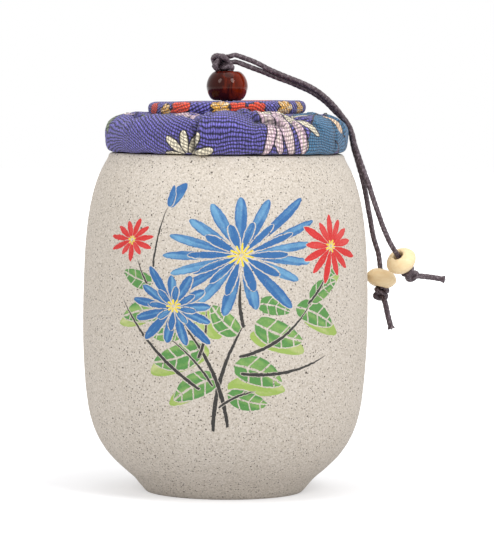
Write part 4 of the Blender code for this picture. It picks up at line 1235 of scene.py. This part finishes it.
class TEAJAR_OT_stopper(bpy.types.Operator):
    """The cork stopper, the board and card inside the lid, and the thread that gathers the cloth"""

    bl_idname = "teajar.stopper"
    bl_label = "Stopper and stiffeners"

    def execute(self, context):
        add_turned("cork_stopper", "stopper", "lid", "cork", 0.002, 96, granulated_cork())
        for node, material in (
            ("lid_board", fibre_material("Pressed fibreboard", "#b18a5e", "#7a5a38", 0.0009, 0.0001)),
            ("disc_core", fibre_material("Grey card", "#a9a196", "#857c70", 0.0005, 0.00004)),
            ("gather_thread", fibre_material("Polyester thread", "#2b2746", "#17152a", 0.0002, 0.00005)),
        ):
            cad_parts[node].data.materials[0] = material
        return {"FINISHED"}


class TEAJAR_OT_padding(bpy.types.Operator):
    """The cotton wadding that fills the lid's edge under its cloth"""

    bl_idname = "teajar.padding"
    bl_label = "Wadding"

    def execute(self, context):
        def fluffed(turn, radius, height):
            place = Vector((math.cos(turn) * radius, math.sin(turn) * radius, height))
            return noise.noise(place / 0.004) * 0.0001

        material = fibre_material("Cotton wadding", "#f1efe6", "#dcd8cb", 0.0006, 0.0003)
        pad = add_turned("cotton_wadding", "lid_wadding", "lid", "wadding", 0.0015, 96, material, fluffed)
        return {"FINISHED"}


# Pleats of the lid's cover, from the front towards +X: turn at the gathered centre, turn at the hem,
# depth share, and how far down the edge it runs as a share of the lid's height
PLEATS = (
    (0.040, 0.047, 0.9, 0.55), (0.110, 0.104, 1.0, 0.55), (0.185, 0.190, 0.9, 0.5), (0.265, 0.262, 1.0, 0.6),
    (0.345, 0.352, 0.8, 0.5), (0.420, 0.415, 1.0, 0.55), (0.500, 0.508, 0.9, 0.5), (0.575, 0.570, 1.0, 0.6),
    (0.660, 0.664, 0.8, 0.5), (0.745, 0.738, 1.0, 0.55), (0.830, 0.836, 0.9, 0.5), (0.981, 0.960, 1.1, 1.0),
)


# Folds and puffs of the cover, in millimetres on the flat cloth: round the lid from its front, and up from
# the inner hem. They lie at the front, and once more half-way round. A fold has its points, how far its
# raised side stands up, how wide that side is, and how deep the notch beside it is. The raised side is on
# its left
HALF_WAY_ROUND = 104.0
LID_GIRTH = 213.6
# Rucks: their pitch and height in metres
RUCKS = ((0.0052, 0.00028), (0.0019, 0.00009))
FOLDS = (
    (((-4, 27.5), (-6.4, 22.5), (-7.6, 19), (-8.2, 15), (-8.8, 9.5)), 1.3, 5.5, 2.2),
    (((-8, 20.2), (-14.3, 22), (-24.2, 23), (-28.6, 21), (-30.2, 17)), 0.8, 4.5, 1.00),
    (((7.2, 23), (9.2, 20.9), (12.5, 20), (16.5, 18.6)), 1.1, 2.4, 1.7),
    (((2.8, 27), (3.6, 24.2), (5.6, 22.2)), 0.4, 1.8, 0.9),
    (((9, 26), (14, 23.6), (19, 21), (23, 16.5)), 0.45, 1.5, 0.55),
    (((9.5, 28), (17, 25.2), (24.5, 22), (29.5, 17.5)), 0.45, 1.7, 0.6),
    (((10, 30), (20, 27.6), (30, 25), (37, 21.5)), 0.5, 2, 0.6),
    (((43, 29), (39, 23.5), (37.5, 18), (37, 11)), 0.35, 3, 0.5),
    (((-38, 28), (-41.5, 21), (-43, 14), (-43, 10.5)), 0.35, 3, 0.45),
    (((-10, 29), (-15, 26), (-22, 25.4)), 0.5, 2.4, 0.55),
    (((56, 28), (61, 22), (63, 15), (63, 11)), 0.4, 3.2, 0.5),
    (((-56, 28), (-60, 22), (-60.5, 16)), 0.45, 3.2, 0.55),
)
# Puffs: middle round the lid and up the cloth, half widths both ways, and how far the padding lifts the cloth
PUFFS = (
    (-40, 26, 20, 5, -0.55), (-20, 16.5, 11, 4.2, 0.3), (-0.8, 22, 6.8, 5.4, 1.3),
    (7.4, 24.4, 3.4, 2.6, 1.6), (15, 24.2, 6.5, 3.4, 0.85), (20, 14.5, 12, 4, 0.3),
    (31, 23, 8, 3.6, 0.3), (-17, 27, 8, 3, 0.1), (60, 20, 9, 4.5, 0.3),
    (-66, 20, 9, 4.5, 0.3),
)


# In a fold: how wide the step beside its line is, how wide its notch and its shade on the raised and on the
# low side are, over what share of its length it fades, and at what share its far end would be gone
FOLD_STEP, NOTCH_WIDTH = 0.45, 0.6
SHADE_RAISED, SHADE_LOW = 0.5, 1.5
FOLD_FADE, FOLD_END = 0.22, 1.15


def cover_relief(around, up_cloth):
    """How far the cloth stands out, in metres, and how much shade is painted on it in a crease, at one height
    up it.
    """
    lift, crease_shade = np.zeros_like(around), np.zeros_like(around)
    for shift in (0.0, HALF_WAY_ROUND):
        place = (around - shift + LID_GIRTH / 2) % LID_GIRTH - LID_GIRTH / 2
        for middle, height, wide, tall, most in PUFFS:
            away = np.abs((place - middle) / wide) ** 3 + abs((up_cloth - height) / tall) ** 3
            lift += most * np.exp(-away)
        for points, rise, wide, notch in FOLDS:
            nearest = np.full_like(place, 99.0)
            share, side = np.zeros_like(place), np.zeros_like(place)
            for k, ((x0, y0), (x1, y1)) in enumerate(zip(points, points[1:])):
                dx, dy = x1 - x0, y1 - y0
                along = np.clip(((place - x0) * dx + (up_cloth - y0) * dy) / (dx * dx + dy * dy), 0, 1)
                away = np.hypot(place - x0 - along * dx, up_cloth - y0 - along * dy)
                closer = away < nearest
                turn = dx * (up_cloth - y0) - dy * (place - x0)
                nearest = np.where(closer, away, nearest)
                share = np.where(closer, (k + along) / (len(points) - 1), share)
                side = np.where(closer, np.sign(turn), side)
            fading = np.clip(np.minimum(share, FOLD_END - share) / FOLD_FADE, 0, 1)
            step = np.clip(side * nearest / FOLD_STEP * 0.5 + 0.5, 0, 1)
            step = step * step * (3 - 2 * step)
            raised = rise * np.exp(-(nearest / wide) ** 1.6) * step
            lift += fading * (raised - notch * np.exp(-nearest / NOTCH_WIDTH) * (1 - 0.7 * step))
            # Painted shade along the fold's line, reaching wider on its low side
            shade = np.where(side > 0, SHADE_RAISED, SHADE_LOW)
            painted_fold_shade = np.exp(-nearest / shade) * min(notch / 1.2, 1.0)
            crease_shade = np.maximum(crease_shade, fading * painted_fold_shade)
    return lift * MM, crease_shade


def around_axis(radius, height, turns):
    """Points at these turns round the pot's axis, counted from the front."""
    return np.stack([radius * np.sin(turns), -radius * np.cos(turns), height], axis=1)


def quarter_bow(first, steps, squareness):
    """Two shares at each step of a quarter superellipse: one rises early, the other late."""
    turns = [math.pi / 2 * step / steps for step in range(first, steps + 1)]
    return [(math.sin(t) ** (2 / squareness), 1 - math.cos(t) ** (2 / squareness)) for t in turns]


def cover_path():
    """(radius, height) points of the cover's cloth from its hem under the board to the gathered centre."""
    low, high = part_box("cover_cloth")
    foot_z, top_z = low[2] + CLOTH / 2, high[2] - CLOTH / 2
    bulge_z = low[2] + (high[2] - low[2]) * BULGE_SHARE
    edge = LID_RADIUS - CLOTH / 2
    path = [(HEM_INNER_RADIUS, foot_z), (LID_FOOT_RADIUS - 0.001, foot_z)]
    for early, late in quarter_bow(0, 12, 3.0):
        path.append((LID_FOOT_RADIUS + (edge - LID_FOOT_RADIUS) * early, foot_z + (bulge_z - foot_z) * late))
    for early, late in quarter_bow(1, 16, 2.3):
        path.append((edge + (SHOULDER_RADIUS - edge) * late, bulge_z + (top_z - bulge_z) * early))
    path.append((GATHER_RADIUS, top_z))
    return smooth_profile(path, COVER_STEP)


class TEAJAR_OT_cover(bpy.types.Operator):
    """The printed cloth drawn over the lid, gathered in pleats towards its centre"""

    bl_idname = "teajar.cover"
    bl_label = "Lid cover"

    def execute(self, context):
        colours, sizes = settings(context)
        path = cover_path()
        low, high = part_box("cover_cloth")
        height = high[2] - low[2]
        along = run_along(path)
        ways = np.gradient(path, axis=0)
        ways /= np.linalg.norm(ways, axis=1)[:, None]
        normals = np.stack([ways[:, 1], -ways[:, 0]], axis=1)
        shares = np.arange(COVER_SIDES) / COVER_SIDES
        turns = shares * math.tau
        around = (shares + 0.5) % 1.0 * math.tau * LID_RADIUS / MM - LID_GIRTH / 2
        rings, crease_shades = [], []
        for i, (radius, z) in enumerate(path):
            up = (z - low[2]) / height
            onto_top = 1 - ramp(radius, *TOP_RAMP) if up > 0.5 else 0.0
            lean = ramp(up, *LEAN_RAMP)
            depth = self.pleat_depth(shares, lean, onto_top, radius, sizes.pleat_depth, up)
            puff = self.puff(shares, lean, onto_top, up, radius)
            out_of_hem = ramp(along[i] / MM, *HEM_RAMP)
            folded, crease_shade = cover_relief(around, along[i] / MM)
            # Painted shade for the cloth's colour: darker in fold creases and in pleat valleys
            crease_shades.append(np.maximum(crease_shade * out_of_hem, depth / sizes.pleat_depth * PLEAT_SHADE))
            out = puff - depth + folded * out_of_hem * ramp(radius, *CENTRE_RAMP)
            moved = path[i] + normals[i] * out[:, None]
            ring = around_axis(moved[:, 0], moved[:, 1], turns)
            if up > 0.02:
                across, upward = normals[i]
                rucks = [
                    sum(noise.noise(Vector(point) / pitch) * high for pitch, high in RUCKS) for point in ring
                ]
                ring += np.array(rucks)[:, None] * around_axis(across, upward + 0 * turns, turns)
            rings.append(ring)
        material = printed_cotton("Printed cotton, cover", colours, sizes, print_cover_motifs)
        cover = skin("pleated_cover", rings, material)
        # The painted crease shade goes onto the mesh's points for the material
        shadowed = cover.data.attributes.new("crease_shade", "FLOAT", "POINT")
        shadowed.data.foreach_set("value", np.concatenate(crease_shades).astype(np.float32))
        centres = self.lobe_centres()

        def flat_place(face, corner):
            ring, side = divmod(corner, COVER_SIDES)
            own_side = face % COVER_SIDES
            share = shares[side] + (1.0 if side < own_side else 0.0)
            middle_share = (own_side + 0.5) / COVER_SIDES
            centre = min(centres, key=lambda c: abs(c - middle_share))
            across = centre * LID_RADIUS + (share - centre) * max(path[ring][0], 0.012)
            return ((across - (LID_RADIUS if middle_share >= 0.5 else 0.0)) * math.tau, along[ring])

        lay_flat(cover, "cloth", flat_place)
        solid = cover.modifiers.new("Cloth thickness", "SOLIDIFY")
        solid.thickness = CLOTH * 0.8
        solid.offset = 0.0
        seat(cover, "lid", "cover_cloth", "cover_cloth")
        return {"FINISHED"}

    def lobe_centres(self):
        """Turn shares half-way between neighbouring pleats, with one more past each end for wrapping."""
        edges = sorted((top + hem) / 2 for top, hem, _, _ in PLEATS)
        edges = [edges[-1] - 1, *edges, edges[0] + 1]
        return [(a + b) / 2 for a, b in zip(edges, edges[1:])]

    def pleat_depth(self, shares, lean, onto_top, radius, full, up):
        """Depth of the pleats at these turns: sharp valleys that deepen towards the gathered centre."""
        depth = np.zeros_like(shares)
        for top, hem, strength, run in PLEATS:
            turn = hem + (top - hem) * lean
            away = (shares - turn + 0.5) % 1.0 - 0.5
            distance = away * math.tau * max(radius, 0.008)
            grown = ramp(up, 1.0 - run, 0.05 + run) ** 1.5
            reach = full * strength * (PLEAT_ON_EDGE * grown + PLEAT_ON_TOP * onto_top)
            wide = np.where(distance > 0, PLEAT_AFTER, PLEAT_BEFORE)
            depth = np.maximum(depth, reach * np.exp(-np.abs(distance) / wide))
        return depth

    def puff(self, shares, lean, onto_top, up, radius):
        """How far the padding lifts the cloth between two pleats."""
        turns = sorted((hem + (top - hem) * lean) % 1.0 for top, hem, _, _ in PLEATS)
        turns = np.array([turns[-1] - 1, *turns, turns[0] + 1])
        after = np.searchsorted(turns, shares, side="right").clip(1, len(turns) - 1)
        before = after - 1
        share = (shares - turns[before]) / (turns[after] - turns[before])
        pillow = 1 - np.abs(2 * share - 1) ** 2.6
        level = PUFF_ON_EDGE * ramp(up, 0.35, 0.5) + PUFF_ON_TOP * ramp(onto_top, 0.0, 0.5)
        return pillow * level * ramp(radius, 0.004, 0.012)


class TEAJAR_OT_disc(bpy.types.Operator):
    """The small cloth-wrapped disc on the lid, sewn down a little askew"""

    bl_idname = "teajar.disc"
    bl_label = "Top disc"

    def execute(self, context):
        colours, sizes = settings(context)
        low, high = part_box("disc_cloth")
        edge = (high[0] - low[0]) / 2
        foot_z, top_z = low[2] + DISC_HALF_CLOTH, high[2] - DISC_HALF_CLOTH
        half = (top_z - foot_z) / 2
        path = [(DISC_HEM_RADIUS, foot_z), (edge - half - 0.0006, foot_z)]
        for step in range(13):
            turn = -math.pi / 2 + math.pi * step / 12
            bow = abs(math.cos(turn)) ** DISC_BOW
            radius = edge - half * 0.9 + half * 0.9 * bow - 0.0002
            path.append((radius, foot_z + half + half * math.sin(turn)))
        path += [(edge - half - 0.001, top_z + 0.0001), (0.0100, top_z + 0.0001), (0.0030, top_z)]
        flat = smooth_profile(path, COVER_STEP)
        along = run_along(flat)
        from_centre = along[-1] - along + 0.003
        tilt = Matrix.Rotation(-sizes.disc_tilt, 3, "Y")
        middle = Vector((0.0, 0.0, foot_z + half))
        sides = 240
        rings = []
        for radius, z in flat:
            ring = []
            for side in range(sides):
                turn = math.tau * side / sides
                point = Vector((radius * math.sin(turn), -radius * math.cos(turn), z))
                around = Vector((math.sin(turn) * 2.2, math.cos(turn) * 2.2, z / 0.004))
                lump = noise.noise(around) * DISC_LUMP
                lump += noise.noise(point / 0.0015) * DISC_RUCK
                outward = Vector((math.sin(turn), -math.cos(turn), 0.0)) * (radius / edge) ** 6
                level = Vector((0.0, 0.0, noise.noise(point / 0.011) * DISC_LUMP if z > middle.z else 0.0))
                ring.append(tilt @ (point - middle + outward * lump + level) + middle)
            rings.append(ring)
        material = printed_cotton("Printed cotton, disc", colours, sizes, print_disc_motifs)
        disc = skin("cloth_disc", rings, material)

        def flat_place(face, corner):
            ring, side = divmod(corner, sides)
            turn = math.tau * side / sides
            return (from_centre[ring] * math.sin(turn), -from_centre[ring] * math.cos(turn))

        lay_flat(disc, "cloth", flat_place)
        solid = disc.modifiers.new("Cloth thickness", "SOLIDIFY")
        solid.thickness = 0.0004
        solid.offset = 0.0
        seat(disc, "lid", "disc_cloth", "disc_cloth")
        return {"FINISHED"}


class TEAJAR_OT_knob(bpy.types.Operator):
    """The lacquered knob bead"""

    bl_idname = "teajar.knob"
    bl_label = "Knob bead"

    def execute(self, context):
        colours, _ = settings(context)
        outline, closed = turned_outline("knob_bead")
        fine = rounded_outline(outline, closed, 0.0004)
        foot = min(height for _, height in fine)
        tall = max(height for _, height in fine) - foot
        rounded = []
        for radius, height in fine:
            above = height - foot
            off = KNOB_ROUNDING * abs(2 * above / tall - 1) ** 2.5 if radius > KNOB_BORE_EDGE else 0.0
            rounded.append((radius - off, foot + above * KNOB_STRETCH_SHARE))
        knob = revolve("lacquered_knob", rounded, closed, 120, lacquered_wood(colours))
        seat(knob, "knob", "knob_wood", "knob_bead")
        return {"FINISHED"}


class TEAJAR_PT_panel(bpy.types.Panel):
    bl_label = "Tea storage jar"
    bl_idname = "TEAJAR_PT_panel"
    bl_space_type = "VIEW_3D"
    bl_region_type = "UI"
    bl_category = "Tea Jar"

    def draw(self, context):
        for operator in OPERATORS:
            self.layout.operator(operator.bl_idname)
        for group in settings(context):
            box = self.layout.box()
            for name in group.__annotations__:
                box.prop(group, name)


OPERATORS = (
    TEAJAR_OT_stage,
    TEAJAR_OT_cord,
    TEAJAR_OT_pot,
    TEAJAR_OT_stopper,
    TEAJAR_OT_padding,
    TEAJAR_OT_cover,
    TEAJAR_OT_disc,
    TEAJAR_OT_knob,
)
CLASSES = (TEAJAR_PG_colours, TEAJAR_PG_sizes, *OPERATORS, TEAJAR_PT_panel)


def register():
    for each in CLASSES:
        bpy.utils.register_class(each)
    bpy.types.Scene.tea_jar_colours = PointerProperty(type=TEAJAR_PG_colours)
    bpy.types.Scene.tea_jar_sizes = PointerProperty(type=TEAJAR_PG_sizes)


def unregister():
    del bpy.types.Scene.tea_jar_sizes
    del bpy.types.Scene.tea_jar_colours
    for each in reversed(CLASSES):
        bpy.utils.unregister_class(each)


def main():
    register()
    for step in ("stage", "cord", "pot", "stopper", "padding", "cover", "disc", "knob"):
        getattr(bpy.ops.teajar, step)()


if __name__ == "__main__":
    main()
